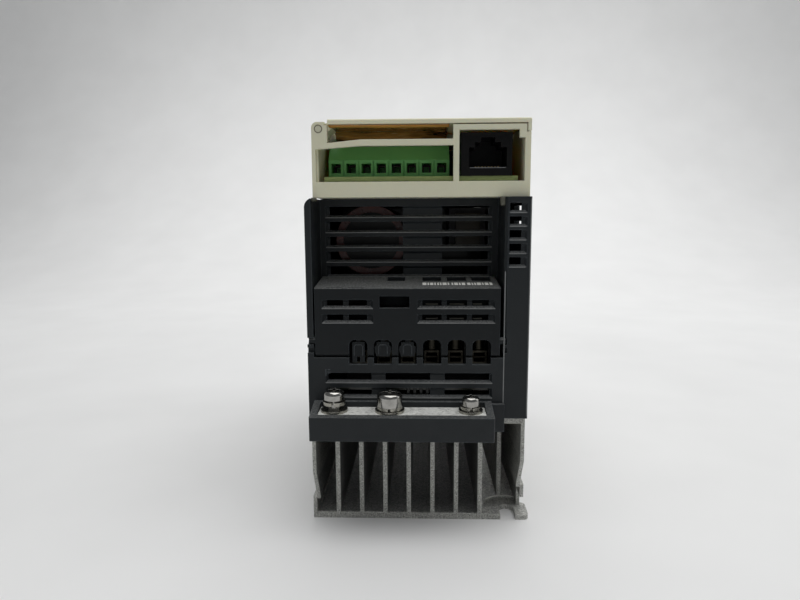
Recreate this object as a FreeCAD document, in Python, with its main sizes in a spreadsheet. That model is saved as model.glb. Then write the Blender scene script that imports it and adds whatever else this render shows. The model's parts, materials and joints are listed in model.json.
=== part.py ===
"""Variable frequency drive lying on its mounting face, terminal end towards -Y.

X is the width, Y the height of the drive on its panel, Z the depth from the
mounting face (0) up to the front door.  The origin is the middle of the
diagonal between the two mounting holes, on the mounting face.
"""
import FreeCAD, Part
import os
import Sketcher

DOC = FreeCAD.newDocument("variable_frequency_drive")
SHEET = DOC.addObject("Spreadsheet::Sheet", "Dimensions")

DIMENSIONS = [
    # heatsink
    ("sink_half_width", 34.85), ("sink_half_length", 65.75), ("sink_base", 2.0),
    ("sink_channel_top", 33.2), ("sink_top", 37.2), ("sink_wall", 1.2), ("sink_wall_lean", 1.2),
    ("left_step_level", 7.7), ("left_lean_top", 16.0),
    ("right_step_level", 12.5), ("right_lean_top", 20.5),
    ("fin_first", -26.4), ("fin_pitch", 7.82), ("fin_thickness", 1.4),
    ("mount_across", 60.0), ("mount_along", 121.5), ("mount_hole_radius", 2.5),
    ("access_radius", 8.0), ("access_top", 8.0), ("seat_depth", 0.4), ("step_web", 0.9),
    ("lug_right", 36.8), ("lug_back", -56.5), ("wall_gap_reach", 2.3),
    # power housing
    ("case_half_width", 35.2), ("case_front", -67.5), ("case_back", 65.75), ("case_wall", 1.8),
    ("apron_back", -65.85), ("apron_bottom", 31.5), ("column_bottom", 35.5), ("case_top", 106.0),
    ("side_ledge", 59.71), ("side_rise", 2.9),
    ("wing_inner", -33.2), ("column_inner", 27.2), ("column_side_wall", 1.7),
    ("recess_face", -49.5), ("recess_wall", 1.8), ("bay_floor", 55.35), ("deck_thickness", 1.8),
    ("inner_wall_bottom", 48.0),
    ("groove_depth", 0.8), ("groove_taper", 45.0), ("ledge_below", 0.4), ("ledge_above", 0.4),
    ("upper_ledge", 79.95), ("upper_pitch", 5.06), ("upper_rise", 3.3),
    ("upper_groove_left", -31.4), ("upper_groove_right", 25.1),
    ("lower_ledge", 42.6), ("lower_pitch", 4.9), ("lower_rise", 2.9),
    ("lower_groove_left", -29.6), ("lower_groove_right", 23.9),
    ("vent_left", 28.5), ("vent_right", 33.8), ("vent_ledge", 84.7), ("vent_pitch", 4.2),
    ("vent_rise", 2.7), ("shoulder_radius", 3.0), ("column_chamfer", 0.9),
    ("pole_first", -18.9), ("pole_pitch", 7.86), ("cable_way_width", 5.9),
    ("cable_way_bottom", 53.2), ("cable_way_top", 61.2), ("cable_way_corner", 1.9),
    # terminal cover
    ("cover_left", -32.7), ("cover_right", 26.1), ("cover_bottom", 55.7), ("cover_knee", 77.8),
    ("cover_shelf_top", 79.75), ("cover_shelf_back", -49.85), ("cover_thickness", 1.6),
    ("cover_lower_round", 1.2), ("cover_ledge", 67.0), ("cover_row_pitch", 4.65), ("cover_rise", 2.4),
    ("hinge_level", 60.7), ("hinge_line", -66.3), ("trunnion_radius", 1.2), ("running_gap", 0.06),
    ("trunnion_left", -34.7), ("trunnion_right", 28.0), ("snap_slot", 2.2),
    ("tongue_width", 3.9), ("tongue_long_bottom", 53.7), ("tongue_top", 60.3),
    ("tongue_short_bottom", 55.8), ("tongue_front", -67.0),
    # earth bar and its carrier
    ("carrier_left", -33.3), ("carrier_right", 23.6), ("carrier_front", -79.25),
    ("carrier_bottom", 31.8), ("carrier_rim_top", 39.3), ("carrier_rise_top", 41.3),
    ("carrier_rim", 2.2), ("flange_right", 27.7), ("flange_thickness", 1.6), ("flange_top", 40.6),
    ("carrier_ledge", 37.9), ("bar_thickness", 1.5), ("bar_gap", 0.1), ("bar_line", -72.6),
    ("earth_left", -26.2), ("earth_middle", -8.7), ("earth_right", 16.7),
    # control housing and door
    ("control_left", -32.9), ("control_right", 35.0), ("control_front", -64.5), ("control_back", 62.0),
    ("control_bottom", 106.1), ("control_floor", 1.6), ("control_wall", 1.8),
    ("panel_bottom", 126.5), ("panel_top", 128.1), ("bay_back", -40.0), ("panel_edge", 33.7),
    ("lip_bottom", 126.0), ("window_left", -31.7), ("window_right", 11.2),
    ("window_bottom", 110.9), ("strip_bottom", 121.9), ("strip_top", 123.8), ("strip_bow", 1.0),
    ("socket_window_left", 13.0), ("socket_window_right", 33.2),
    ("socket_window_bottom", 110.9), ("socket_window_top", 126.5),
    ("notch_left", 31.5), ("notch_bottom", 124.0),
    ("door_left", -27.9), ("door_right", 35.1), ("door_bottom", 128.5), ("door_top", 130.0),
    ("door_pivot_across", -30.7), ("door_pivot_level", 127.1), ("pivot_pin_radius", 1.0),
    ("knuckle_radius", 1.9), ("knuckle_length", 9.0), ("boss_left", -32.9), ("boss_right", -28.9),
    ("boss_top", 129.2), ("boss_length", 6.0), ("travel_gap", 0.3),
    # control board, sockets, display and keys
    ("control_board_bottom", 111.1), ("control_board_top", 112.6), ("control_board_left", -29.5),
    ("control_board_right", 31.5), ("control_board_front", -62.0), ("control_board_back", 57.0),
    ("block_left", -29.5), ("block_pitch", 5.0), ("block_front", -52.0), ("block_back", -42.0),
    ("block_brow", 118.6), ("block_top", 123.4), ("entry_side", 3.1), ("entry_bottom", 114.4),
    ("socket_left", 13.6), ("socket_right", 29.6), ("socket_top", 125.9), ("socket_front", -62.3),
    ("socket_back", -44.5), ("port_left", 16.2), ("port_right", 27.9), ("port_bottom", 115.2),
    ("port_top", 121.3), ("key_way_half", 4.0), ("key_way_top", 122.9), ("latch_half", 2.15),
    ("latch_top", 124.4), ("port_depth", 12.0), ("contact_pitch", 1.02),
    ("display_left", -16.0), ("display_right", 20.0), ("display_near", 27.0), ("display_far", 43.0),
    ("display_top", 126.2), ("key_half_width", 5.0), ("key_half_depth", 3.4), ("key_top", 130.4),
    ("key_left_column", -9.0), ("key_right_column", 13.0), ("key_near_row", 2.0),
    ("key_far_row", 14.0), ("key_collar_bottom", 124.9), ("key_collar_top", 126.2),
    ("key_foot", 117.3), ("key_window_margin", 2.0), ("switch_top", 116.1), ("switch_side", 6.0),
    # power board and what stands on it
    ("board_left", -32.0), ("board_right", 26.8), ("board_front", -64.5), ("board_far", 62.0),
    ("board_bottom", 44.0), ("board_top", 45.6),
    ("stud_left", -28.0), ("stud_right", 22.5), ("stud_near", -42.0), ("stud_far", 56.0),
    ("terminal_left", -23.6), ("terminal_right", 25.2), ("terminal_front", -60.7),
    ("terminal_back", -50.2), ("terminal_top", 70.0), ("terminal_screw_line", -57.2),
    ("can_across", -16.2), ("can_level", 91.8), ("can_pitch", 25.2), ("can_front", -44.5),
    ("can_back", -3.0), ("sleeve_radius", 12.2), ("sleeve_thickness", 0.3), ("sleeve_fold", 2.5),
    ("riser_thickness", 1.6), ("riser_top", 103.4), ("module_half_width", 22.0),
    ("module_front", -20.0), ("module_back", 22.0), ("pad_thickness", 0.5), ("module_height", 5.8),
    ("choke_across", -13.0), ("choke_along", 24.0), ("choke_major", 9.5), ("choke_minor", 3.6),
    ("core_left", 11.5), ("core_right", 24.8), ("core_bottom", 87.5), ("core_top", 103.0),
    ("core_length", 26.0), ("coil_left", 13.9), ("coil_right", 22.8), ("coil_bottom", 89.5),
    ("coil_top", 101.2), ("relay_height", 15.0), ("film_height", 17.0),
]

# A cut reaches this far past the face that it opens; an added piece runs this far into its neighbour.
BEYOND = 1.0
OVERLAP = 1.0


def fill_sheet():
    for row, (alias, number) in enumerate(DIMENSIONS, start=1):
        SHEET.set("A%d" % row, alias)
        SHEET.set("B%d" % row, str(number))
        SHEET.setAlias("B%d" % row, alias)
    DOC.recompute()


class Size:
    """A number together with the sheet expression that it comes from."""

    def __init__(self, number, text):
        self.number = number
        self.text = text

    def __add__(self, other):
        other = as_size(other)
        return Size(self.number + other.number, "(%s + %s)" % (self.text, other.text))

    def __sub__(self, other):
        other = as_size(other)
        return Size(self.number - other.number, "(%s - %s)" % (self.text, other.text))

    def __mul__(self, factor):
        factor = as_size(factor)
        return Size(self.number * factor.number, "(%s * %s)" % (self.text, factor.text))

    def __radd__(self, other):
        return as_size(other) + self

    def __rsub__(self, other):
        return as_size(other) - self

    def __rmul__(self, factor):
        return self * factor

    def __neg__(self):
        return Size(-self.number, "(-1 * %s)" % self.text)


def as_size(value):
    if isinstance(value, Size):
        return value
    return Size(float(value), "%.4f" % value)


class SheetReader:
    """Gives every sheet cell as a Size under its alias."""

    def __getattr__(self, alias):
        return Size(float(SHEET.get(alias)), "Dimensions." + alias)


size = SheetReader()


def bind(target, prop, value):
    target.setExpression(prop, as_size(value).text)


def near(left, right):
    return abs(left - as_size(right).number) < 0.02


# ---------------------------------------------------------------- bodies made from sketches

PLANES = {"X": ("YZ_Plane", 1), "Y": ("XZ_Plane", -1), "Z": ("XY_Plane", 1)}


def new_body(label):
    body = DOC.addObject("PartDesign::Body", "body_" + label)
    body.Label = label
    body.AllowCompound = True
    return body


def rectangle(left, right, low, high):
    return [(left, low), (right, low), (right, high), (left, high)]


def circle(across, along, radius):
    return {"across": as_size(across), "along": as_size(along), "radius": as_size(radius)}


def pin_point(sketch, geometry, point, across, along):
    for kind, value in (("DistanceX", as_size(across)), ("DistanceY", as_size(along))):
        index = sketch.addConstraint(Sketcher.Constraint(kind, -1, 1, geometry, point, value.number))
        sketch.setExpression("Constraints[%d]" % index, value.text)


def draw_circle(sketch, loop):
    centre = FreeCAD.Vector(loop["across"].number, loop["along"].number, 0)
    ring = sketch.addGeometry(Part.Circle(centre, FreeCAD.Vector(0, 0, 1), loop["radius"].number))
    pin_point(sketch, ring, 3, loop["across"], loop["along"])
    index = sketch.addConstraint(Sketcher.Constraint("Radius", ring, loop["radius"].number))
    sketch.setExpression("Constraints[%d]" % index, loop["radius"].text)


def draw_polygon(sketch, corners):
    first = sketch.GeometryCount
    count = len(corners)
    points = [FreeCAD.Vector(as_size(u).number, as_size(v).number, 0) for u, v in corners]
    for index in range(count):
        sketch.addGeometry(Part.LineSegment(points[index], points[(index + 1) % count]))
    for index in range(count):
        following = first + (index + 1) % count
        sketch.addConstraint(Sketcher.Constraint("Coincident", first + index, 2, following, 1))
    for index, (across, along) in enumerate(corners):
        pin_point(sketch, first + index, 1, across, along)


def sketch_on(body, name, axis, level, loops):
    role, sign = PLANES[axis]
    sketch = body.newObject("Sketcher::SketchObject", name + "_sketch")
    plane = next(item for item in body.Origin.OriginFeatures if item.Role == role)
    sketch.AttachmentSupport = [(plane, "")]
    sketch.MapMode = "FlatFace"
    bind(sketch, "AttachmentOffset.Base.z", as_size(level) * sign)
    for loop in loops:
        if isinstance(loop, dict):
            draw_circle(sketch, loop)
        else:
            draw_polygon(sketch, loop)
    return sketch


def extrude(kind, body, name, axis, start, end, loops):
    """Pad or pocket the loops along an axis, from one level to another."""
    start, end = as_size(start), as_size(end)
    sketch = sketch_on(body, name, axis, start, loops)
    feature = body.newObject("PartDesign::" + kind, name)
    feature.Profile = sketch
    upwards = end.number > start.number
    along_normal = upwards == (PLANES[axis][1] > 0)
    feature.Reversed = along_normal if kind == "Pocket" else not along_normal
    bind(feature, "Length", end - start if upwards else start - end)
    return feature


def add(body, name, axis, start, end, loops):
    return extrude("Pad", body, name, axis, start, end, loops)


def remove(body, name, axis, start, end, loops):
    return extrude("Pocket", body, name, axis, start, end, loops)


def soften(kind, body, name, value, test):
    """Fillet or chamfer every edge of the body whose bounding box passes the test."""
    DOC.recompute()
    base = body.Tip
    names = ["Edge%d" % (index + 1) for index, edge in enumerate(base.Shape.Edges) if test(edge.BoundBox)]
    if not names:
        raise RuntimeError("no edges found for " + name)
    feature = body.newObject("PartDesign::" + kind, name)
    feature.Base = (base, names)
    bind(feature, "Radius" if kind == "Fillet" else "Size", value)


def repeat_upwards(body, feature, pitch, count):
    """Repeat a feature on the YZ plane along Z."""
    rows = body.newObject("PartDesign::LinearPattern", feature.Name + "_rows")
    rows.Originals = [feature]
    rows.Direction = (feature.Profile[0], ["V_Axis"])
    rows.Occurrences = count
    bind(rows, "Length", pitch * (count - 1))
    feature.Visibility = False
    body.Tip = rows


# ---------------------------------------------------------------- pieces made from primitives

TURNS = {"X": FreeCAD.Rotation(FreeCAD.Vector(0, 1, 0), 90),
         "Y": FreeCAD.Rotation(FreeCAD.Vector(1, 0, 0), -90),
         "Z": FreeCAD.Rotation()}


def place(target, position):
    for letter, value in zip("xyz", position):
        bind(target, "Placement.Base." + letter, value)


def block(name, across, along, level):
    box = DOC.addObject("Part::Box", name)
    for prop, (low, high) in zip(("Length", "Width", "Height"), (across, along, level)):
        bind(box, prop, as_size(high) - low)
    place(box, (across[0], along[0], level[0]))
    return box


def rod(name, axis, position, radius, length):
    cylinder = DOC.addObject("Part::Cylinder", name)
    bind(cylinder, "Radius", radius)
    bind(cylinder, "Height", length)
    cylinder.Placement = FreeCAD.Placement(FreeCAD.Vector(), TURNS[axis])
    place(cylinder, position)
    return cylinder


def ring(name, position, major, minor):
    torus = DOC.addObject("Part::Torus", name)
    bind(torus, "Radius1", major)
    bind(torus, "Radius2", minor)
    place(torus, position)
    return torus


def joined(label, shapes):
    fusion = DOC.addObject("Part::MultiFuse", "joined_" + label)
    fusion.Shapes = shapes
    fusion.Label = label
    return fusion


def group(label, shapes):
    """Separate solids that are one node."""
    compound = DOC.addObject("Part::Compound", "group_" + label)
    compound.Links = shapes
    compound.Label = label
    return compound


def without(label, base, tools):
    tool = tools[0] if len(tools) == 1 else joined(label + "_tools", tools)
    cut = DOC.addObject("Part::Cut", "cut_" + label)
    cut.Base = base
    cut.Tool = tool
    cut.Label = label
    return cut


HEAD_ROUND = 0.6


def pan_screw(name, centre, head_radius, head, shank_radius, foot, round_radius=HEAD_ROUND):
    """Screw along Z: head from head[0] to head[1], shank down to foot, cross recess in the head."""
    across, along = centre
    shank = rod(name + "_shank", "Z", (across, along, foot), shank_radius, as_size(head[0]) - foot)
    cap = rod(name + "_cap", "Z", (across, along, head[0]), head_radius, as_size(head[1]) - head[0])
    rounded = DOC.addObject("Part::Fillet", name + "_rounded")
    DOC.recompute()
    rounded.Base = cap
    edges = []
    for index, edge in enumerate(cap.Shape.Edges):
        if near(edge.BoundBox.ZMin, head[1]) and near(edge.BoundBox.ZMax, head[1]):
            edges.append((index + 1, round_radius, round_radius))
    rounded.Edges = edges
    solid = joined(name + "_solid", [shank, rounded])
    half_slot = as_size(head_radius) * RECESS_LENGTH
    half_width = as_size(head_radius) * RECESS_WIDTH
    bottom = as_size(head[1]) - RECESS_DEPTH
    arms = [block(name + "_recess_across", (across - half_slot, across + half_slot),
                  (along - half_width, along + half_width), (bottom, as_size(head[1]) + BEYOND)),
            block(name + "_recess_along", (across - half_width, across + half_width),
                  (along - half_slot, along + half_slot), (bottom, as_size(head[1]) + BEYOND))]
    return without(name, solid, arms)


RECESS_DEPTH = 0.9
RECESS_LENGTH = 0.55
RECESS_WIDTH = 0.13


# ---------------------------------------------------------------- heatsink

FIN_COUNT = 8
FIN_MARGIN = 0.1
LUG_ROUND = 1.6


def slot_centre():
    return size.mount_across * 0.5, -size.mount_along * 0.5


def hole_centre():
    return -size.mount_across * 0.5, size.mount_along * 0.5


def fin_side(index, side):
    return size.fin_first + size.fin_pitch * index + size.fin_thickness * (0.5 * side)


def make_heatsink():
    body = new_body("heatsink")
    half, length, lean = size.sink_half_width, size.sink_half_length, size.sink_wall_lean
    add(body, "sink_block", "Y", -length, length, [[
        (-half, 0), (half, 0), (half, size.right_step_level), (half - lean, size.right_step_level),
        (half, size.right_lean_top), (half, size.sink_top), (-half, size.sink_top),
        (-half, size.left_lean_top), (lean - half, size.left_step_level),
        (-half, size.left_step_level)]])
    inside = half - size.sink_wall
    last = FIN_COUNT - 1
    floor, roof = size.sink_base, size.sink_channel_top
    left_web = size.left_step_level - size.step_web
    right_web = size.right_step_level - size.step_web
    channels = [[(-inside, roof), (-inside, size.left_lean_top), (lean - inside, size.left_step_level),
                 (lean - inside, left_web), (-inside, left_web), (-inside, floor),
                 (fin_side(0, -1), floor), (fin_side(0, -1), roof)],
                [(inside, roof), (inside, size.right_lean_top), (inside - lean, size.right_step_level),
                 (inside - lean, right_web), (inside, right_web), (inside, floor),
                 (fin_side(last, 1), floor), (fin_side(last, 1), roof)]]
    for index in range(last):
        channels.append(rectangle(fin_side(index, 1), fin_side(index + 1, -1), floor, roof))
    remove(body, "sink_channels", "Y", -length, length, channels)
    across, along = slot_centre()
    add(body, "sink_lug", "Z", 0, floor, [rectangle(half - OVERLAP, size.lug_right, -length, size.lug_back)])
    far_across, far_along = hole_centre()
    seat = floor - size.seat_depth
    remove_screw_room(body, seat)
    remove(body, "fin_clearance", "Z", floor, roof,
           [rectangle(fin_side(last, -1) - FIN_MARGIN, fin_side(last, 1) + FIN_MARGIN,
                      -length - BEYOND, along + size.access_radius),
            rectangle(fin_side(0, -1) - FIN_MARGIN, fin_side(0, 1) + FIN_MARGIN,
                      far_along - size.access_radius, length + BEYOND)])
    radius = size.mount_hole_radius
    remove(body, "mount_holes", "Z", 0, seat,
           [circle(across, along, radius), circle(far_across, far_along, radius)])
    remove(body, "mount_slot", "Z", 0, floor,
           [rectangle(across - radius, across + radius, -length - BEYOND, along)])
    remove(body, "stud_holes", "Z", size.sink_top, roof,
           [circle(x, y, STUD_HOLE) for x, y in stud_places()] +
           [circle(x, y, MODULE_SCREW_HOLE) for x, y in module_screw_places()])
    soften("Fillet", body, "lug_round", LUG_ROUND,
           lambda box: near(box.XMin, size.lug_right) and near(box.XMax, size.lug_right)
           and box.ZLength > 1)


def remove_screw_room(body, seat):
    """Round seats for the mounting screw heads; the side walls stand on them further in."""
    across, along = slot_centre()
    far_across, far_along = hole_centre()
    radius = size.access_radius
    half = size.sink_half_width
    wall_face = half - size.sink_wall
    far_top = size.left_step_level - size.step_web
    remove(body, "near_seat", "Z", seat, size.access_top, [circle(across, along, radius)])
    remove(body, "far_seat", "Z", seat, far_top, [circle(far_across, far_along, radius)])
    add(body, "near_wall_foot", "Z", seat, size.access_top,
        [rectangle(wall_face, half, along + size.wall_gap_reach, along + radius + OVERLAP)])
    add(body, "far_wall_foot", "Z", seat, far_top,
        [rectangle(-half, -wall_face, far_along - radius - OVERLAP, far_along - size.wall_gap_reach)])


STUD_HOLE = 1.56
MODULE_SCREW_HOLE = 2.06
MODULE_EAR = 3.9


def stud_places():
    return [(x, y) for x in (size.stud_left, size.stud_right) for y in (size.stud_near, size.stud_far)]


def module_screw_places():
    middle = (size.module_front + size.module_back) * 0.5
    return [(-size.module_half_width - MODULE_EAR, middle), (size.module_half_width + MODULE_EAR, middle)]


# ---------------------------------------------------------------- power housing

POLE_COUNT = 6
UPPER_OPENINGS = [(-30.0, -5.0), (8.3, 23.9)]
LOWER_OPENINGS = [(-28.8, -14.8), (-10.3, 4.1), (8.7, 23.0)]
UPPER_ROWS = 5
LOWER_ROWS = 2
VENT_ROWS = 5
VENT_MARGIN = 0.2
VENT_SILL = 1.6
SIDE_ROWS = 9
SIDE_OPENINGS = [(-60.0, -43.5), (-38.0, -20.0), (-14.0, 4.0), (10.0, 28.0), (34.0, 52.0)]


def pole(index):
    return size.pole_first + size.pole_pitch * index


def louvre_rows(first, pitch, count):
    return [first + pitch * row for row in range(count)]


def cut_louvres(body, name, face, inward, ledges, rise, groove, openings):
    """Bevelled grooves in a wall face, and the openings that pass through the wall inside them."""
    below, above = size.ledge_below, size.ledge_above
    bed = as_size(face) + size.groove_depth * inward
    grooves = [rectangle(groove[0], groove[1], ledge - below, ledge + rise) for ledge in ledges]
    pocket = remove(body, name + "_grooves", "Y", face, bed, grooves)
    bind(pocket, "TaperAngle", -size.groove_taper)
    slots = [rectangle(low, high, ledge + above, ledge + rise) for ledge in ledges
             for low, high in openings]
    through = as_size(face) + LOUVRE_DEPTH * inward
    remove(body, name + "_openings", "Y", face, through, slots)


LOUVRE_DEPTH = 2.6
LONG_EDGE = 20.0


def make_power_housing():
    body = new_body("power_housing")
    half, wall, front, back = size.case_half_width, size.case_wall, size.case_front, size.case_back
    bottom, top = size.sink_top, size.case_top
    deck = top - size.deck_thickness
    inner = half - wall
    add(body, "case_walls", "Z", bottom, top,
        [rectangle(-half, half, front, back), rectangle(-inner, inner, size.apron_back, back - wall)])
    add(body, "case_apron", "Y", front, size.apron_back,
        [rectangle(size.carrier_left, size.flange_right, size.apron_bottom, bottom)])
    add(body, "case_skirt", "Y", front, size.apron_back,
        [rectangle(-half, half, size.column_bottom, bottom)])
    remove(body, "bay_mouth", "Y", front, size.apron_back,
           [rectangle(size.wing_inner, size.column_inner, size.bay_floor, top + BEYOND)])
    add(body, "left_wing", "X", -inner, size.wing_inner,
        [rectangle(front, size.recess_face, size.bay_floor, top)])
    add(body, "column_side", "X", size.column_inner, size.column_inner + size.column_side_wall,
        [rectangle(size.apron_back, size.recess_face + size.recess_wall, bottom, top)])
    add(body, "inner_wall", "Y", size.recess_face, size.recess_face + size.recess_wall,
        [rectangle(-inner, size.column_inner, size.inner_wall_bottom, top)])
    add(body, "deck", "Z", deck, top,
        [rectangle(-inner, inner, size.recess_face + size.recess_wall, back - wall),
         rectangle(-LINK_HALF_WIDTH, LINK_HALF_WIDTH, LINK_NEAR, LINK_FAR)])
    add(body, "column_cap", "Z", deck, top,
        [rectangle(size.column_inner + size.column_side_wall, inner, size.apron_back,
                   size.recess_face + size.recess_wall)])
    cable_ways = [rectangle(pole(index) - size.cable_way_width * 0.5,
                            pole(index) + size.cable_way_width * 0.5,
                            size.cable_way_bottom, size.bay_floor + BEYOND) for index in range(POLE_COUNT)]
    remove(body, "cable_ways", "Y", front, size.apron_back, cable_ways)
    upper = louvre_rows(size.upper_ledge, size.upper_pitch, UPPER_ROWS)
    lower = louvre_rows(size.lower_ledge, size.lower_pitch, LOWER_ROWS)
    vents = louvre_rows(size.vent_ledge, size.vent_pitch, VENT_ROWS)
    upper_groove = (size.upper_groove_left, size.upper_groove_right)
    lower_groove = (size.lower_groove_left, size.lower_groove_right)
    vent_groove = (size.vent_left - VENT_MARGIN, size.vent_right + VENT_MARGIN)
    vent_opening = [(size.vent_left, size.vent_right - VENT_SILL)]
    cut_louvres(body, "upper", size.recess_face, 1, upper, size.upper_rise, upper_groove, UPPER_OPENINGS)
    cut_louvres(body, "lower", front, 1, lower, size.lower_rise, lower_groove, LOWER_OPENINGS)
    cut_louvres(body, "vent", front, 1, vents, size.vent_rise, vent_groove, vent_opening)
    cut_louvres(body, "far_upper", back, -1, upper, size.upper_rise, upper_groove, UPPER_OPENINGS)
    cut_louvres(body, "far_lower", back, -1, lower, size.lower_rise, lower_groove, LOWER_OPENINGS)
    cut_louvres(body, "far_vent", back, -1, vents, size.vent_rise, vent_groove, vent_opening)
    cut_side_slots(body, "left_slots", -half, wall, SIDE_OPENINGS[1:], SIDE_ROWS - 1)
    cut_side_slots(body, "right_slots", half, -wall, SIDE_OPENINGS, SIDE_ROWS)
    cut_hinge_sockets(body)
    soften("Fillet", body, "shoulder", size.shoulder_radius,
           lambda box: near(box.XMin, -half) and near(box.XMax, -half) and near(box.ZMin, top)
           and near(box.ZMax, top))
    soften("Chamfer", body, "column_edge", size.column_chamfer,
           lambda box: near(box.XMin, size.column_inner) and near(box.XMax, size.column_inner)
           and near(box.YMin, front) and near(box.YMax, front) and box.ZLength > LONG_EDGE)


def cut_side_slots(body, name, face, depth, openings, rows):
    """Rows of slots through a side wall, from the lowest row upwards."""
    low = size.side_ledge + size.ledge_above
    row = remove(body, name, "X", face, face + depth,
                 [rectangle(near_end, far_end, low, low + size.side_rise) for near_end, far_end in openings])
    repeat_upwards(body, row, size.upper_pitch, rows)


LINK_HALF_WIDTH = 15.5
LINK_NEAR = 53.5
LINK_FAR = 58.5


def cut_hinge_sockets(body):
    """Snap-in sockets for the cover's trunnions, and the assembly notch under each of them."""
    half, level, line = size.case_half_width, size.hinge_level, size.hinge_line
    socket = size.trunnion_radius + size.running_gap
    half_slot = size.snap_slot * 0.5
    slot = rectangle(size.case_front - BEYOND, line, level - half_slot, level + half_slot)
    notch = rectangle(size.case_front - BEYOND, line, level - NOTCH_BELOW, level - NOTCH_ABOVE)
    for side, start, end in (("left", -half, size.wing_inner),
                             ("right", size.column_inner, size.trunnion_right + size.travel_gap)):
        remove(body, side + "_socket", "X", start, end, [circle(line, level, socket)])
        remove(body, side + "_snap", "X", start, end, [slot])
        remove(body, side + "_notch", "X", start, end, [notch])


NOTCH_BELOW = 3.8
NOTCH_ABOVE = 2.0


# ---------------------------------------------------------------- terminal cover

COVER_LEFT_OPENINGS = [(-28.8, -23.6), (-21.9, -16.0)]
COVER_RIGHT_OPENINGS = [(1.5, 7.7), (9.2, 15.7), (17.2, 22.5)]
COVER_LEFT_GROOVE = (-30.4, -14.0)
COVER_RIGHT_GROOVE = (0.0, 24.5)
COVER_ROWS = 2
DRIVER_HOLES = [(-10.1, -4.2), (1.6, 7.9), (9.8, 16.2), (17.9, 24.2)]
DRIVER_NEAR = -57.0
DRIVER_FAR = -51.2
LATCH_WINDOW = (-12.0, -2.5, 71.4, 75.2)
CHEEK_THICKNESS = 1.4
CHEEK_FOOT = 9.0
CHEEK_SETBACK = 3.0
CHEEK_DROP = 0.3
KNEE_ROUND = 0.5
SKIN = 0.2


def make_terminal_cover():
    body = new_body("terminal_cover")
    front, thick = size.case_front, size.cover_thickness
    inside = front + thick
    left, right = size.cover_left, size.cover_right
    bottom, knee = size.cover_bottom, size.cover_knee
    shelf_back, shelf_top = size.cover_shelf_back, size.cover_shelf_top
    add(body, "cover_section", "X", left, right, [[
        (front, bottom), (inside, bottom), (inside, knee - thick), (shelf_back, shelf_top - thick),
        (shelf_back, shelf_top), (front, knee)]])
    cheek = [(inside, knee - thick), (inside, bottom + CHEEK_FOOT),
             (shelf_back - CHEEK_SETBACK, shelf_top - thick - CHEEK_DROP)]
    for side, start, end in (("left", left, left + CHEEK_THICKNESS),
                             ("right", right - CHEEK_THICKNESS, right)):
        add(body, side + "_cheek", "X", start, end, [cheek])
    soften("Fillet", body, "lower_round", size.cover_lower_round,
           lambda box: near(box.ZMin, bottom) and near(box.ZMax, bottom) and near(box.YMin, front)
           and near(box.YMax, front))
    soften("Fillet", body, "knee_round", KNEE_ROUND,
           lambda box: near(box.ZMin, knee) and near(box.ZMax, knee) and near(box.YMax, front))
    half = size.cable_way_width * 0.5
    ways = [rectangle(pole(index) - half, pole(index) + half, bottom - BEYOND, size.cable_way_top)
            for index in range(POLE_COUNT)]
    remove(body, "cover_cable_ways", "Y", front, inside + SKIN, ways)
    soften("Fillet", body, "way_corners", size.cable_way_corner,
           lambda box: near(box.ZMin, size.cable_way_top) and near(box.ZMax, size.cable_way_top)
           and box.YLength > 1 and box.XLength < 0.1)
    add_tongues(body)
    rows = louvre_rows(size.cover_ledge, size.cover_row_pitch, COVER_ROWS)
    rise = size.cover_rise
    cut_louvres(body, "cover_left", front, 1, rows, rise, COVER_LEFT_GROOVE, COVER_LEFT_OPENINGS)
    cut_louvres(body, "cover_right", front, 1, rows, rise, COVER_RIGHT_GROOVE, COVER_RIGHT_OPENINGS)
    remove(body, "latch_window", "Y", front, inside, [rectangle(*LATCH_WINDOW)])
    remove(body, "driver_holes", "Z", shelf_top + BEYOND, knee - thick - SKIN,
           [rectangle(low, high, DRIVER_NEAR, DRIVER_FAR) for low, high in DRIVER_HOLES])
    line, level, radius = size.hinge_line, size.hinge_level, size.trunnion_radius
    add(body, "left_trunnion", "X", size.trunnion_left, left + OVERLAP, [circle(line, level, radius)])
    add(body, "right_trunnion", "X", right - OVERLAP, size.trunnion_right, [circle(line, level, radius)])


TONGUE_PROFILE = [(1.12, 0.0), (1.12, 0.7), (1.34, 1.4), (1.34, 2.9), (1.02, 3.5), (1.02, 4.5)]
NICK_HALF = 0.5
NICK_HEIGHT = 2.0
WEB_HALF = 0.7
WEB_OVERLAP = 0.5
WEB_THICKNESS = 0.6


def add_tongues(body):
    """Knock-out tongues that still close the three left cable ways."""
    back = size.case_front + size.cover_thickness
    half = size.tongue_width * 0.5
    top = size.tongue_top
    long_pole = pole(0)
    foot = size.tongue_long_bottom
    loops = [[(long_pole - half, foot), (long_pole - NICK_HALF, foot),
              (long_pole - NICK_HALF, foot + NICK_HEIGHT), (long_pole + NICK_HALF, foot + NICK_HEIGHT),
              (long_pole + NICK_HALF, foot), (long_pole + half, foot),
              (long_pole + half, top), (long_pole - half, top)]]
    for index in (1, 2):
        middle = pole(index)
        outline = [(middle + half * reach, size.tongue_short_bottom + level)
                   for reach, level in TONGUE_PROFILE]
        mirrored = [(middle - half * reach, size.tongue_short_bottom + level)
                    for reach, level in reversed(TONGUE_PROFILE)]
        loops.append(outline + mirrored)
    add(body, "tongues", "Y", size.tongue_front, back, loops)
    webs = [rectangle(pole(index) - WEB_HALF, pole(index) + WEB_HALF, top - WEB_OVERLAP,
                      size.cable_way_top + WEB_OVERLAP) for index in (0, 1, 2)]
    add(body, "tongue_webs", "Y", back - WEB_THICKNESS, back, webs)


# ---------------------------------------------------------------- earth bar and carrier

TRAY_SLOPE = 0.3
TRAY_FLOOR = 1.6
TRAY_ROUND = 0.6
SCREW_ROOM = 3.6
BAR_TUCK = 0.5

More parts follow.
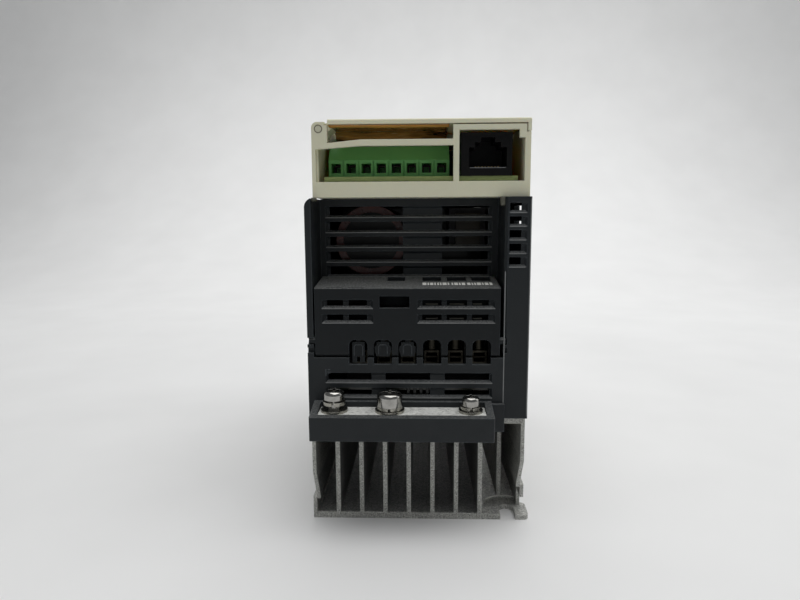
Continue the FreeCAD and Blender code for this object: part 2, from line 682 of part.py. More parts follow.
def make_earth_bar_carrier():
    body = new_body("earth_bar_carrier")
    left, right, front, rear = size.carrier_left, size.carrier_right, size.carrier_front, size.case_front
    low, rim, rise = size.carrier_bottom, size.carrier_rim_top, size.carrier_rise_top
    edge = size.carrier_rim
    add(body, "tray", "X", left, right, [[
        (front, low), (rear, low), (rear, rise), (front + edge, rim + TRAY_SLOPE), (front, rim)]])
    add(body, "flange", "Y", rear - size.flange_thickness, rear,
        [rectangle(left, size.flange_right, size.apron_bottom, size.flange_top)])
    remove(body, "bar_seat", "Z", rise + BEYOND, size.carrier_ledge,
           [rectangle(left + edge, right - edge, front + edge,
                      rear - size.flange_thickness + BAR_TUCK + size.bar_gap)])
    remove(body, "screw_room", "Z", size.carrier_ledge, low + TRAY_FLOOR,
           [circle(x, size.bar_line, SCREW_ROOM) for x in earth_places()])
    remove(body, "washer_room", "Z", rise + BEYOND, size.carrier_ledge + size.bar_thickness - size.bar_gap,
           [circle(x, size.bar_line, rim + WASHER_ROOM) for x, rim in zip(earth_places(), FLAT_WASHER_RIMS)])
    soften("Fillet", body, "tray_corners", TRAY_ROUND,
           lambda box: near(box.YMin, front) and near(box.YMax, front) and box.ZLength > 5)


def earth_places():
    return [size.earth_left, size.earth_middle, size.earth_right]


def make_earth_bar():
    body = new_body("earth_bar")
    gap, edge = size.bar_gap, size.carrier_rim
    left, right = size.carrier_left + edge + gap, size.carrier_right - edge - gap
    near_side = size.carrier_front + edge + gap
    far_side = size.case_front - size.flange_thickness + BAR_TUCK
    bottom = size.carrier_ledge
    add(body, "bar", "Z", bottom, bottom + size.bar_thickness, [
        rectangle(left, right, near_side, far_side),
        circle(size.earth_left, size.bar_line, EARTH_SCREW_RADIUS + size.running_gap),
        circle(size.earth_middle, size.bar_line, LARGE_SCREW_RADIUS + size.running_gap),
        circle(size.earth_right, size.bar_line, EARTH_SCREW_RADIUS + size.running_gap)])


EARTH_SCREW_RADIUS = 2.0
LARGE_SCREW_RADIUS = 2.5
FLAT_WASHER_RIMS = (4.2, 4.65, 3.8)
EARTH_ROUND = 1.4
WASHER_ROOM = 0.2
WASHER_BORE_GAP = 0.1
FLAT_WASHER_THICKNESS = 0.8
SCREW_REACH = 5.0
# head radius, underside and top of each head above the bar
LEFT_HEAD = (3.2, 3.9, 6.8)
RIGHT_HEAD = (2.75, 2.1, 5.1)
LARGE_HEAD = (4.0, 1.9, 6.2)
# rim radius, underside above the bar and thickness of each spring washer
LEFT_SPRING = (3.5, 2.3, 1.1)
MIDDLE_SPRING = (4.0, 0.9, 0.95)
RIGHT_SPRING = (3.2, 0.95, 1.0)
SPLIT_HALF = 0.4


def washer(name, centre, bore, rim, level):
    across, along = centre
    thick = as_size(level[1]) - level[0]
    disc = rod(name + "_disc", "Z", (across, along, level[0]), rim, thick)
    hole = rod(name + "_hole", "Z", (across, along, as_size(level[0]) - BEYOND), bore, thick + BEYOND * 2)
    return without(name, disc, [hole])


def earth_screw(name, centre, head, shank_radius, face):
    radius, low, high = head
    return pan_screw(name, centre, radius, (face + low, face + high), shank_radius, face - SCREW_REACH,
                     EARTH_ROUND)


def make_earth_fasteners():
    line = size.bar_line
    face = size.carrier_ledge + size.bar_thickness
    small, large = EARTH_SCREW_RADIUS, LARGE_SCREW_RADIUS
    left, middle, right = [(x, line) for x in earth_places()]
    group("earth_screws", [earth_screw("left_earth_screw", left, LEFT_HEAD, small, face),
                           earth_screw("right_earth_screw", right, RIGHT_HEAD, small, face)])
    earth_screw("earth_screw_large", middle, LARGE_HEAD, large, face)
    group("flat_washers", [washer("flat_%d" % index, centre, shank + WASHER_BORE_GAP, rim,
                                  (face, face + FLAT_WASHER_THICKNESS))
                           for index, (centre, shank, rim) in enumerate(
                               zip((left, middle, right), (small, large, small), FLAT_WASHER_RIMS))])
    group("spring_washers", [split_washer("left_spring", left, small, LEFT_SPRING, face),
                             split_washer("middle_spring", middle, large, MIDDLE_SPRING, face),
                             split_washer("right_spring", right, small, RIGHT_SPRING, face)])


def split_washer(name, centre, bore, sizes, face):
    across, along = centre
    rim, rise, thick = sizes
    level = face + rise
    plain = washer(name + "_plain", centre, bore + WASHER_BORE_GAP, rim, (level, level + thick))
    gap = block(name + "_gap", (across - SPLIT_HALF, across + SPLIT_HALF), (along - rim - BEYOND, along),
                (level - BEYOND, level + thick + BEYOND))
    return without(name, plain, [gap])


# ---------------------------------------------------------------- control housing and door

def make_control_housing():
    body = new_body("control_housing")
    left, right, front, back = size.control_left, size.control_right, size.control_front, size.control_back
    low, wall, top = size.control_bottom, size.control_wall, size.panel_top
    floor = low + size.control_floor
    add(body, "control_walls", "Z", low, top,
        [rectangle(left, right, front, back),
         rectangle(left + wall, right - wall, front + wall, back - wall)])
    add(body, "control_base", "Z", low, floor,
        [rectangle(left + OVERLAP, right - OVERLAP, front + OVERLAP, back - OVERLAP),
         rectangle(-LINK_HALF_WIDTH, LINK_HALF_WIDTH, LINK_NEAR, LINK_FAR)])
    add(body, "front_panel", "Z", size.panel_bottom, top,
        [rectangle(left + OVERLAP, right - OVERLAP, size.bay_back, back - OVERLAP)])
    add(body, "board_posts", "Z", floor, size.control_board_bottom,
        [circle(x, y, POST_RADIUS) for x, y in control_screw_places()])
    remove(body, "terminal_window", "Y", front, front + wall, [[
        (size.window_left, size.window_bottom), (size.window_right, size.window_bottom),
        (size.window_right, size.strip_bottom), (size.window_left + STRIP_RISE, size.strip_bottom),
        (size.window_left, size.strip_bottom - size.strip_bow)]])
    slot_left, slot_right = size.boss_right + SLOT_INSET, size.window_right - size.bar_gap
    remove(body, "upper_slot", "Y", front, front + wall, [[
        (slot_left, size.strip_top - size.strip_bow), (size.window_left + STRIP_RISE, size.strip_top),
        (slot_right, size.strip_top), (slot_right, top + BEYOND), (slot_left, top + BEYOND)]])
    remove(body, "socket_window", "Y", front, front + wall, [[
        (size.socket_window_left, size.socket_window_bottom),
        (size.socket_window_right, size.socket_window_bottom),
        (size.socket_window_right, size.notch_bottom), (size.notch_left, size.notch_bottom),
        (size.notch_left, size.socket_window_top), (size.socket_window_left, size.socket_window_top)]])
    remove(body, "lip_rebate", "Z", top, size.lip_bottom - size.travel_gap,
           [rectangle(size.panel_edge, right + BEYOND, front - BEYOND, back + BEYOND)])
    remove(body, "pivot_channel", "Z", top + BEYOND,
           size.door_pivot_level - size.knuckle_radius - KNUCKLE_ROOM,
           [rectangle(left - BEYOND, size.boss_right, front - BEYOND, back + BEYOND)])
    add_hinge_bosses(body)
    gap = size.travel_gap
    holes = [rectangle(x - size.key_half_width - gap, x + size.key_half_width + gap,
                       y - size.key_half_depth - gap, y + size.key_half_depth + gap)
             for x, y in key_places()]
    holes.append(rectangle(size.display_left - gap, size.display_right + gap,
                           size.display_near - gap, size.display_far + gap))
    remove(body, "panel_holes", "Z", top, size.panel_bottom, holes)
    remove(body, "post_holes", "Z", size.control_board_bottom, floor,
           [circle(x, y, POST_HOLE) for x, y in control_screw_places()])


STRIP_RISE = 14.0
SLOT_INSET = 0.9
POST_RADIUS = 3.0
POST_HOLE = 1.3
POSTS_ACROSS = (-26.0, 28.0)
POSTS_ALONG = (-34.0, 50.0)


def control_screw_places():
    return [(x, y) for x in POSTS_ACROSS for y in POSTS_ALONG]


def key_places():
    return [(size.key_left_column, size.key_near_row), (size.key_left_column, size.key_far_row),
            (size.key_right_column, size.key_near_row), (size.key_right_column, size.key_far_row)]


def add_hinge_bosses(body):
    """Rolled left edge that holds the pivot pins, with pockets for the two door knuckles."""
    pivot, level = size.door_pivot_across, size.door_pivot_level
    base = level - size.knuckle_radius - EDGE_DEPTH
    add(body, "rolled_edge", "Y", size.control_front, size.control_back, [[
        (size.boss_left, base), (size.boss_right, base), (size.boss_right, size.boss_top)]
        + [(size.boss_left + along, size.boss_top - down) for along, down in ROLLED_CORNER]])
    gap = size.travel_gap
    for index, (start, end) in enumerate(knuckle_spans()):
        remove(body, "knuckle_pocket_%d" % index, "Y", start - gap, end + gap,
               [rectangle(size.boss_left - BEYOND, size.door_left + ARM_ROOM,
                          level - size.knuckle_radius - KNUCKLE_ROOM, size.boss_top + BEYOND)])
    remove(body, "pin_bore", "Y", size.control_front, size.control_back,
           [circle(pivot, level, size.pivot_pin_radius + PIN_FIT)])


ARM_ROOM = 1.6
EDGE_DEPTH = 2.0
KNUCKLE_ROOM = 0.4
PIN_FIT = 0.02
ROLLED_CORNER = [(1.7, 0.0), (1.05, 0.13), (0.5, 0.5), (0.13, 1.05), (0.0, 1.7)]


def knuckle_spans():
    """The two stretches of the left edge where the door's knuckles turn."""
    near_start = size.control_front + size.boss_length + size.travel_gap
    far_end = size.control_back - size.boss_length - size.travel_gap
    return [(near_start, near_start + size.knuckle_length), (far_end - size.knuckle_length, far_end)]


def pin_spans():
    """Each pin starts at an end of the housing and reaches through the door knuckle beside it."""
    near_knuckle, far_knuckle = knuckle_spans()
    return [(size.control_front, near_knuckle[1]), (far_knuckle[0], size.control_back)]


def make_door_hinge_pins():
    pins = []
    for index, (start, end) in enumerate(pin_spans()):
        pins.append(rod("pivot_pin_%d" % index, "Y", (size.door_pivot_across, start, size.door_pivot_level),
                        size.pivot_pin_radius, end - start))
    group("door_hinge_pins", pins)


def make_front_door():
    body = new_body("front_door")
    left, right, low, top = size.door_left, size.door_right, size.door_bottom, size.door_top
    front, back = size.control_front, size.control_back
    add(body, "leaf", "Z", low, top, [rectangle(left, right, front, back)])
    add(body, "lip", "X", right - LIP_THICKNESS, right, [rectangle(front, back, size.lip_bottom, low)])
    pivot, level = size.door_pivot_across, size.door_pivot_level
    for index, (start, end) in enumerate(knuckle_spans()):
        arm = [(pivot + across, level + up) for across, up in ARM_AT_PIVOT]
        arm += [(left + ARM_ONTO_LEAF, low), (left + ARM_ONTO_LEAF, top), (left - ARM_SHOULDER, top)]
        arm.append((pivot + ARM_CREST[0], level + ARM_CREST[1]))
        add(body, "arm_%d" % index, "Y", start, end, [arm])
        add(body, "knuckle_%d" % index, "Y", start, end, [circle(pivot, level, size.knuckle_radius)])
        remove(body, "knuckle_bore_%d" % index, "Y", start, end,
               [circle(pivot, level, size.pivot_pin_radius + size.running_gap)])
    margin = size.key_window_margin
    remove(body, "door_holes", "Z", top, low, [
        rectangle(size.key_left_column - size.key_half_width - margin,
                  size.key_right_column + size.key_half_width + margin,
                  size.key_near_row - size.key_half_depth - margin,
                  size.key_far_row + size.key_half_depth + margin),
        rectangle(size.display_left + WINDOW_LEDGE, size.display_right - WINDOW_LEDGE,
                  size.display_near + WINDOW_LEDGE, size.display_far - WINDOW_LEDGE)])
    rim = WINDOW_RIM + size.bar_gap
    remove(body, "window_rebate", "Z", top, top - WINDOW_DEPTH,
           [rectangle(size.display_left - rim, size.display_right + rim,
                      size.display_near - rim, size.display_far + rim)])
    soften("Fillet", body, "leaf_edges", LEAF_ROUND,
           lambda box: near(box.ZMin, top) and near(box.ZMax, top)
           and (near(box.XMin, right) or near(box.YMax, front) or near(box.YMin, back)))


LIP_THICKNESS = 1.1
ARM_AT_PIVOT = [(-0.4, 0.0), (1.2, -0.8)]
ARM_CREST = (0.2, 1.7)
ARM_ONTO_LEAF = 1.2
ARM_SHOULDER = 0.6
LEAF_ROUND = 0.5
WINDOW_LEDGE = 1.0
WINDOW_RIM = 0.4
WINDOW_DEPTH = 0.7
WINDOW_SINK = 0.05


def make_display_window():
    top = size.door_top
    block("display_window", (size.display_left - WINDOW_RIM, size.display_right + WINDOW_RIM),
          (size.display_near - WINDOW_RIM, size.display_far + WINDOW_RIM),
          (top - WINDOW_DEPTH, top - WINDOW_SINK))


# ---------------------------------------------------------------- control board and its parts

BLOCK_POLES = 8
BOARD_HOLE = 1.35
# head radius, head height and shank radius
CONTROL_SCREW = (2.4, 1.8, 1.2)
BROW_SLOPE = 4.0
ENTRY_DEPTH = 8.2
WELL_SETBACK = 6.6
WELL_RADIUS = 1.75
WELL_OVERLAP = 1.0
GROOVE_HALF = 0.25
GROOVE_DEPTH = 0.4
BLOCK_SCREW_HEAD = (1.6, 1.8, 0.5)
BLOCK_SCREW_SHANK = 1.0
BLOCK_SCREW_FOOT = 2.9
BLOCK_CAGE_HALF = (1.3, 1.5)
BLOCK_CAGE_LEVEL = (0.1, 2.7)
BLOCK_CAGE_PLATE = 0.35
DRIVE_SLOT_HALF = 0.25
DRIVE_SLOT_REACH = 3.0
DRIVE_SLOT_DEPTH = 0.5
CONTACT_COUNT = 8
CONTACT_HALF = 0.2
CONTACT_SETBACK = 2.5
CONTACT_THICKNESS = 0.5


def make_control_board():
    body = new_body("control_board")
    add(body, "control_board_plate", "Z", size.control_board_bottom, size.control_board_top, [
        rectangle(size.control_board_left, size.control_board_right, size.control_board_front,
                  size.control_board_back)] + [circle(x, y, BOARD_HOLE) for x, y in control_screw_places()])


def make_control_screws():
    face = size.control_board_top
    head_radius, head_height, shank_radius = CONTROL_SCREW
    screws = [pan_screw("control_screw_%d" % index, place_at, head_radius, (face, face + head_height),
                        shank_radius, size.control_bottom + size.control_floor)
              for index, place_at in enumerate(control_screw_places())]
    group("control_board_screws", screws)


def block_pole(index):
    return size.block_left + size.block_pitch * (index + 0.5)


def make_control_terminals():
    body = new_body("control_terminal_block")
    low, brow, top = size.control_board_top, size.block_brow, size.block_top
    front, back = size.block_front, size.block_back
    right = size.block_left + size.block_pitch * BLOCK_POLES
    add(body, "block_section", "X", size.block_left, right,
        [[(front, low), (back, low), (back, top), (front + BROW_SLOPE, top), (front, brow)]])
    half = size.entry_side * 0.5
    entries = [rectangle(block_pole(index) - half, block_pole(index) + half,
                         size.entry_bottom, size.entry_bottom + size.entry_side)
               for index in range(BLOCK_POLES)]
    remove(body, "wire_entries", "Y", front, front + ENTRY_DEPTH, entries)
    wells = [circle(block_pole(index), front + WELL_SETBACK, WELL_RADIUS) for index in range(BLOCK_POLES)]
    remove(body, "screw_wells", "Z", top, size.entry_bottom + WELL_OVERLAP, wells)
    borders = [block_pole(index) + size.block_pitch * 0.5 for index in range(BLOCK_POLES - 1)]
    remove(body, "pole_grooves", "Y", front, front + GROOVE_DEPTH,
           [rectangle(border - GROOVE_HALF, border + GROOVE_HALF, low, brow) for border in borders])
    head_radius, head_low, head_high = BLOCK_SCREW_HEAD
    cage_low, cage_high = BLOCK_CAGE_LEVEL
    screws, clamps = [], []
    for index in range(BLOCK_POLES):
        centre = (block_pole(index), front + WELL_SETBACK)
        screws.append(slotted_screw("block_screw_%d" % index, centre, head_radius,
                                    (top - head_low, top - head_high), BLOCK_SCREW_SHANK,
                                    size.entry_bottom + BLOCK_SCREW_FOOT))
        clamps.append(cage("block_clamp_%d" % index, centre, BLOCK_CAGE_HALF,
                           (size.entry_bottom + cage_low, size.entry_bottom + cage_high), BLOCK_CAGE_PLATE))
    group("control_terminal_screws", screws)
    group("control_terminal_clamps", clamps)


def slotted_screw(name, centre, head_radius, head, shank_radius, foot):
    across, along = centre
    shank = rod(name + "_shank", "Z", (across, along, foot), shank_radius, as_size(head[0]) - foot)
    cap = rod(name + "_cap", "Z", (across, along, head[0]), head_radius, as_size(head[1]) - head[0])
    solid = joined(name + "_solid", [shank, cap])
    slot = block(name + "_slot", (across - DRIVE_SLOT_HALF, across + DRIVE_SLOT_HALF),
                 (along - DRIVE_SLOT_REACH, along + DRIVE_SLOT_REACH),
                 (as_size(head[1]) - DRIVE_SLOT_DEPTH, as_size(head[1]) + BEYOND))
    return without(name, solid, [slot])


def cage(name, centre, half_sizes, level, plate):
    """Clamp cage that is open towards the wire and towards the back."""
    across, along = centre
    half_across, half_along = half_sizes
    outer = block(name + "_outer", (across - half_across, across + half_across),
                  (along - half_along, along + half_along), level)
    inner = block(name + "_inner", (across - half_across + plate, across + half_across - plate),
                  (along - half_along - BEYOND, along + half_along + BEYOND),
                  (level[0] + plate, level[1] - plate))
    return without(name, outer, [inner])


def make_network_socket():
    body = new_body("network_socket")
    low, top, front, back = size.control_board_top, size.socket_top, size.socket_front, size.socket_back
    add(body, "socket_shell", "Z", low, top, [rectangle(size.socket_left, size.socket_right, front, back)])
    middle = (size.port_left + size.port_right) * 0.5
    key_way, latch = size.key_way_half, size.latch_half
    remove(body, "port", "Y", front, front + size.port_depth, [[
        (size.port_left, size.port_bottom), (size.port_right, size.port_bottom),
        (size.port_right, size.port_top), (middle + key_way, size.port_top),
        (middle + key_way, size.key_way_top), (middle + latch, size.key_way_top),
        (middle + latch, size.latch_top), (middle - latch, size.latch_top),
        (middle - latch, size.key_way_top), (middle - key_way, size.key_way_top),
        (middle - key_way, size.port_top), (size.port_left, size.port_top)]])
    contacts = []
    for index in range(CONTACT_COUNT):
        across = middle + size.contact_pitch * (index - (CONTACT_COUNT - 1) * 0.5)
        contacts.append(block("network_contact_%d" % index, (across - CONTACT_HALF, across + CONTACT_HALF),
                              (front + CONTACT_SETBACK, front + size.port_depth),
                              (size.port_bottom, size.port_bottom + CONTACT_THICKNESS)))
    group("network_contacts", contacts)


def make_display():
    block("display_module", (size.display_left, size.display_right), (size.display_near, size.display_far),
          (size.control_board_top, size.display_top))


def make_switches():
    half = size.switch_side * 0.5
    switches = [block("tact_switch_%d" % index, (x - half, x + half), (y - half, y + half),
                      (size.control_board_top, size.switch_top))
                for index, (x, y) in enumerate(key_places())]
    group("tact_switches", switches)


def make_keys():
    half_width, half_depth = size.key_half_width, size.key_half_depth
    for label, (x, y) in zip(KEY_LABELS, key_places()):
        cap = block(label + "_cap", (x - half_width, x + half_width), (y - half_depth, y + half_depth),
                    (size.key_collar_bottom, size.key_top))
        DOC.recompute()
        rounded = DOC.addObject("Part::Fillet", label + "_rounded")
        rounded.Base = cap
        rounded.Edges = [(index + 1, KEY_ROUND, KEY_ROUND) for index, edge in enumerate(cap.Shape.Edges)
                         if near(edge.BoundBox.ZMin, size.key_top)]
        wide, deep = half_width + COLLAR_RIM, half_depth + COLLAR_RIM
        collar = block(label + "_collar", (x - wide, x + wide), (y - deep, y + deep),
                       (size.key_collar_bottom, size.key_collar_top))
        stem = rod(label + "_stem", "Z", (x, y, size.key_foot), STEM_RADIUS,
                   size.key_collar_bottom - size.key_foot)
        joined(label, [rounded, collar, stem])


KEY_LABELS = ["key_enter", "key_escape", "key_down", "key_up"]
KEY_ROUND = 0.6
COLLAR_RIM = 0.9
STEM_RADIUS = 1.6

CHIP_ACROSS = (-7.0, 7.0)
CHIP_ALONG = (-24.0, -10.0)
CHIP_HEIGHT = 1.4
LIGHT_ACROSS = (26.0, 28.0)
LIGHT_STARTS = (18.0, 24.0, 30.0)
LIGHT_LENGTH = 3.0
LIGHT_HEIGHT = 1.8
LINK_BOARD_HALF = 14.0
LINK_BOARD_ALONG = (55.2, 56.8)


def make_control_chips():
    face = size.control_board_top
    block("microcontroller", CHIP_ACROSS, CHIP_ALONG, (face, face + CHIP_HEIGHT))
    lights = [block("light_%d" % index, LIGHT_ACROSS, (y, y + LIGHT_LENGTH), (face, face + LIGHT_HEIGHT))
              for index, y in enumerate(LIGHT_STARTS)]
    group("status_lights", lights)
    block("board_link", (-LINK_BOARD_HALF, LINK_BOARD_HALF), LINK_BOARD_ALONG,
          (size.board_top, size.control_board_bottom))


# ---------------------------------------------------------------- power board and its parts

STUD_RIM = 2.9
# head radius, head height and shank radius
BOARD_SCREW = (2.8, 2.1, 1.5)
MODULE_SCREW = (3.4, 2.4, 2.0)
THREAD_CLEARANCE = 0.6
EAR_HEIGHT = 3.0
EAR_RIM = 3.4
EAR_HALF = 4.0
POWER_ENTRY = (2.8, 51.4, 62.5)
POWER_ENTRY_DEPTH = 8.0
POWER_WELL_RADIUS = 2.75
POWER_WELL_BOTTOM = 61.0
POWER_HEAD = (2.5, 64.4, 66.8)
POWER_SHANK = (1.75, 56.2)
POWER_CAGE_HALF = (2.5, 2.6)
POWER_CAGE_LEVEL = (51.6, 56.1)
POWER_CAGE_PLATE = 0.7
JAW_HALF = 1.8
JAW_FRONT = 2.9
JAW_LEVEL = (53.7, 54.3)
CAN_COUNT = 2
RISER_ACROSS = (-31.0, 26.0)
COIL_REACH = 2.0
TURN_COUNT = 14
TURN_GAP = 0.6
WIRE_RADIUS = 0.55
CHOKE_LIFT = 1.4
RELAY_ACROSS = (6.0, 24.0)
RELAY_ALONG = (6.0, 27.0)
FILM_ACROSS = (-2.0, 20.0)
FILM_ALONG = (34.0, 44.0)

def make_power_board():
    body = new_body("power_board")
    add(body, "power_board_plate", "Z", size.board_bottom, size.board_top, [
        rectangle(size.board_left, size.board_right, size.board_front, size.board_far)]
        + [circle(x, y, STUD_HOLE) for x, y in stud_places()])


def make_board_studs():
    studs, screws = [], []
    head_radius, head_height, shank_radius = BOARD_SCREW
    for index, centre in enumerate(stud_places()):
        studs.append(washer("stud_%d" % index, centre, STUD_HOLE, STUD_RIM,
                            (size.sink_top, size.board_bottom)))
        screws.append(pan_screw("board_screw_%d" % index, centre, head_radius,
                                (size.board_top, size.board_top + head_height), shank_radius,
                                size.sink_channel_top + THREAD_CLEARANCE))
    group("board_standoffs", studs)
    group("board_screws", screws)


def make_power_module():
    body = new_body("power_module")
    half, front, back = size.module_half_width, size.module_front, size.module_back
    low = size.sink_top + size.pad_thickness
    top = low + size.module_height
    add(body, "module_case", "Z", low, top, [rectangle(-half, half, front, back)])
    middle = (front + back) * 0.5
    ear = low + EAR_HEIGHT
    reach = half + MODULE_EAR + EAR_RIM
    add(body, "module_ears", "Z", low, ear,
        [rectangle(-reach, -half + OVERLAP, middle - EAR_HALF, middle + EAR_HALF),
         rectangle(half - OVERLAP, reach, middle - EAR_HALF, middle + EAR_HALF)])
    remove(body, "module_holes", "Z", ear, low,
           [circle(x, y, MODULE_SCREW_HOLE) for x, y in module_screw_places()])
    block("thermal_pad", (-half, half), (front, back), (size.sink_top, low))
    head_radius, head_height, shank_radius = MODULE_SCREW
    screws = [pan_screw("module_screw_%d" % index, centre, head_radius, (ear, ear + head_height),
                        shank_radius, size.sink_channel_top + THREAD_CLEARANCE)
              for index, centre in enumerate(module_screw_places())]
    group("module_screws", screws)


def make_power_terminals():
    body = new_body("power_terminal_block")
    front, back, low, top = size.terminal_front, size.terminal_back, size.board_top, size.terminal_top
    add(body, "terminal_case", "Z", low, top,
        [rectangle(size.terminal_left, size.terminal_right, front, back)])
    entry_half, entry_low, entry_high = POWER_ENTRY
    remove(body, "terminal_entries", "Y", front, front + POWER_ENTRY_DEPTH,
           [rectangle(pole(index) - entry_half, pole(index) + entry_half, entry_low, entry_high)
            for index in range(POLE_COUNT)])
    line = size.terminal_screw_line
    remove(body, "terminal_wells", "Z", top, POWER_WELL_BOTTOM,
           [circle(pole(index), line, POWER_WELL_RADIUS) for index in range(POLE_COUNT)])
    shank_radius, foot = POWER_SHANK
    screws = [slotted_screw("terminal_screw_%d" % index, (pole(index), line), POWER_HEAD[0],
                            POWER_HEAD[1:], shank_radius, foot) for index in range(POLE_COUNT)]
    clamps = []
    for index in range(POLE_COUNT):
        upper = cage("clamp_cage_%d" % index, (pole(index), line), POWER_CAGE_HALF, POWER_CAGE_LEVEL,
                     POWER_CAGE_PLATE)
        jaw = block("clamp_jaw_%d" % index, (pole(index) - JAW_HALF, pole(index) + JAW_HALF),
                    (line - JAW_FRONT, line + POWER_CAGE_HALF[1]), JAW_LEVEL)
        clamps.append(joined("clamp_%d" % index, [upper, jaw]))
    group("power_terminal_screws", screws)
    group("power_terminal_clamps", clamps)


def make_capacitors():
    across, front, back = size.can_across, size.can_front, size.can_back
    radius, thin = size.sleeve_radius, size.sleeve_thickness
    cans, sleeves = [], []
    for index in range(CAN_COUNT):
        level = size.can_level - size.can_pitch * index
        cans.append(rod("can_%d" % index, "Y", (across, front + thin, level), radius - thin,
                        back - front - thin))
        skin = rod("skin_%d" % index, "Y", (across, front, level), radius, back - front)
        hollow = rod("hollow_%d" % index, "Y", (across, front + thin, level), radius - thin,
                     back - front - thin)
        mouth = rod("mouth_%d" % index, "Y", (across, front - BEYOND, level), radius - size.sleeve_fold,
                    BEYOND * 3)
        sleeves.append(without("sleeve_%d" % index, skin, [hollow, mouth]))
    group("capacitor_cans", cans)
    group("capacitor_sleeves", sleeves)
    block("capacitor_board", RISER_ACROSS, (back, back + size.riser_thickness),
          (size.board_top, size.riser_top))


def make_transformer():
    back = size.can_back
    near_end = back - size.core_length
    coil_across = (size.coil_left, size.coil_right)
    coil_level = (size.coil_bottom, size.coil_top)
    core = block("core_block", (size.core_left, size.core_right), (near_end, back),
                 (size.core_bottom, size.core_top))
    room = block("core_room", coil_across, (near_end - BEYOND, back), coil_level)
    without("transformer_core", core, [room])
    block("transformer_winding", coil_across, (near_end - COIL_REACH, back), coil_level)


def make_choke():
    across, along = size.choke_across, size.choke_along
    major, minor = size.choke_major, size.choke_minor
    level = size.board_top + minor + CHOKE_LIFT
    ring("choke_core", (across, along, level), major, minor)
    turns = []
    upright = FreeCAD.Rotation(FreeCAD.Vector(1, 0, 0), 90)
    for index in range(TURN_COUNT):
        angle = 360.0 / TURN_COUNT * index
        turn = DOC.addObject("Part::Torus", "choke_turn_%d" % index)
        bind(turn, "Radius1", minor + TURN_GAP)
        bind(turn, "Radius2", WIRE_RADIUS)
        spin = FreeCAD.Rotation(FreeCAD.Vector(0, 0, 1), angle)
        turn.Placement = FreeCAD.Placement(FreeCAD.Vector(), spin * upright)
        text = "%s + %s * %s"
        turn.setExpression("Placement.Base.x", text % (across.text, major.text, "cos(%.3f deg)" % angle))
        turn.setExpression("Placement.Base.y", text % (along.text, major.text, "sin(%.3f deg)" % angle))
        bind(turn, "Placement.Base.z", level)
        turns.append(turn)
    group("choke_winding", turns)


def make_board_parts():
    top = size.board_top
    block("inrush_relay", RELAY_ACROSS, RELAY_ALONG, (top, top + size.relay_height))
    block("film_capacitor", FILM_ACROSS, FILM_ALONG, (top, top + size.film_height))


# ---------------------------------------------------------------- build, check and write

fill_sheet()
make_heatsink()
make_power_housing()
make_terminal_cover()
make_earth_bar_carrier()
make_earth_bar()
make_earth_fasteners()
make_control_housing()
make_door_hinge_pins()
make_front_door()
make_display_window()
make_control_board()
make_control_screws()
make_control_terminals()
make_network_socket()
make_display()
make_switches()
make_keys()
make_control_chips()
make_power_board()
make_board_studs()
make_power_module()
make_power_terminals()
make_capacitors()
make_transformer()
make_choke()
make_board_parts()

NODES = ["heatsink", "power_housing", "terminal_cover", "earth_bar_carrier", "earth_bar", "earth_screws",
         "earth_screw_large", "flat_washers", "spring_washers", "control_housing", "door_hinge_pins",
         "front_door", "display_window", "control_board", "control_board_screws",
         "control_terminal_block", "control_terminal_screws", "control_terminal_clamps",
         "network_socket", "network_contacts", "display_module", "tact_switches", "key_enter",
         "key_escape", "key_down", "key_up", "microcontroller", "status_lights", "board_link",
         "power_board", "board_standoffs", "board_screws", "power_module", "thermal_pad",
         "module_screws", "power_terminal_block", "power_terminal_screws", "power_terminal_clamps",
         "capacitor_cans", "capacitor_sleeves", "capacitor_board", "transformer_core",
         "transformer_winding", "choke_core", "choke_winding", "inrush_relay", "film_capacitor"]


def check_and_write():
    DOC.recompute()
    for item in DOC.Objects:
        for word in ("Invalid", "Error"):
            if word in item.State:
                raise RuntimeError("%s is %s" % (item.Label, word))
    os.makedirs("parts", exist_ok=True)
    for label in NODES:
        node = DOC.getObjectsByLabel(label)[0]
        if node.Shape.isNull() or not node.Shape.isValid():
            raise RuntimeError("bad shape: " + label)
        node.Shape.exportStep("parts/%s.step" % label)
        print("%-26s solids %d  volume %.1f" % (label, len(node.Shape.Solids), node.Shape.Volume))


check_and_write()
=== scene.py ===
"""Variable frequency drive on a pale floor: materials, surface detail, light and camera."""

import json
import math

import bmesh
import bpy
from mathutils import Matrix, Vector


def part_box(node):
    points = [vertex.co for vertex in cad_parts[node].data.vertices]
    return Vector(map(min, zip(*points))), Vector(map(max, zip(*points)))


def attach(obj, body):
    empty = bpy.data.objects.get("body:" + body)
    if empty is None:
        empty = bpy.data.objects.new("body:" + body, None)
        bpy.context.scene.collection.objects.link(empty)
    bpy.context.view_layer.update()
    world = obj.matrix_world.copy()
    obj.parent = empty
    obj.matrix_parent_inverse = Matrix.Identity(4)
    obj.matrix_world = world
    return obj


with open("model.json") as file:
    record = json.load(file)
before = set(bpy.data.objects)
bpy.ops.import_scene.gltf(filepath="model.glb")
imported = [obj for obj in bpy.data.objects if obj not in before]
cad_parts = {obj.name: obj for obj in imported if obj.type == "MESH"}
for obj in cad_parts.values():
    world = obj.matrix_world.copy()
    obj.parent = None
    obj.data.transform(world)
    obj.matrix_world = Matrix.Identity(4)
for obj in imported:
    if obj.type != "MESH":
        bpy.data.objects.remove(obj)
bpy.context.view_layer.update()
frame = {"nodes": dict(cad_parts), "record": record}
NODES = frame["nodes"]
MM = 0.001
AXES = {"X": (1, 2, 0), "Y": (0, 2, 1), "Z": (0, 1, 2)}


# ---------------------------------------------------------------- material building blocks

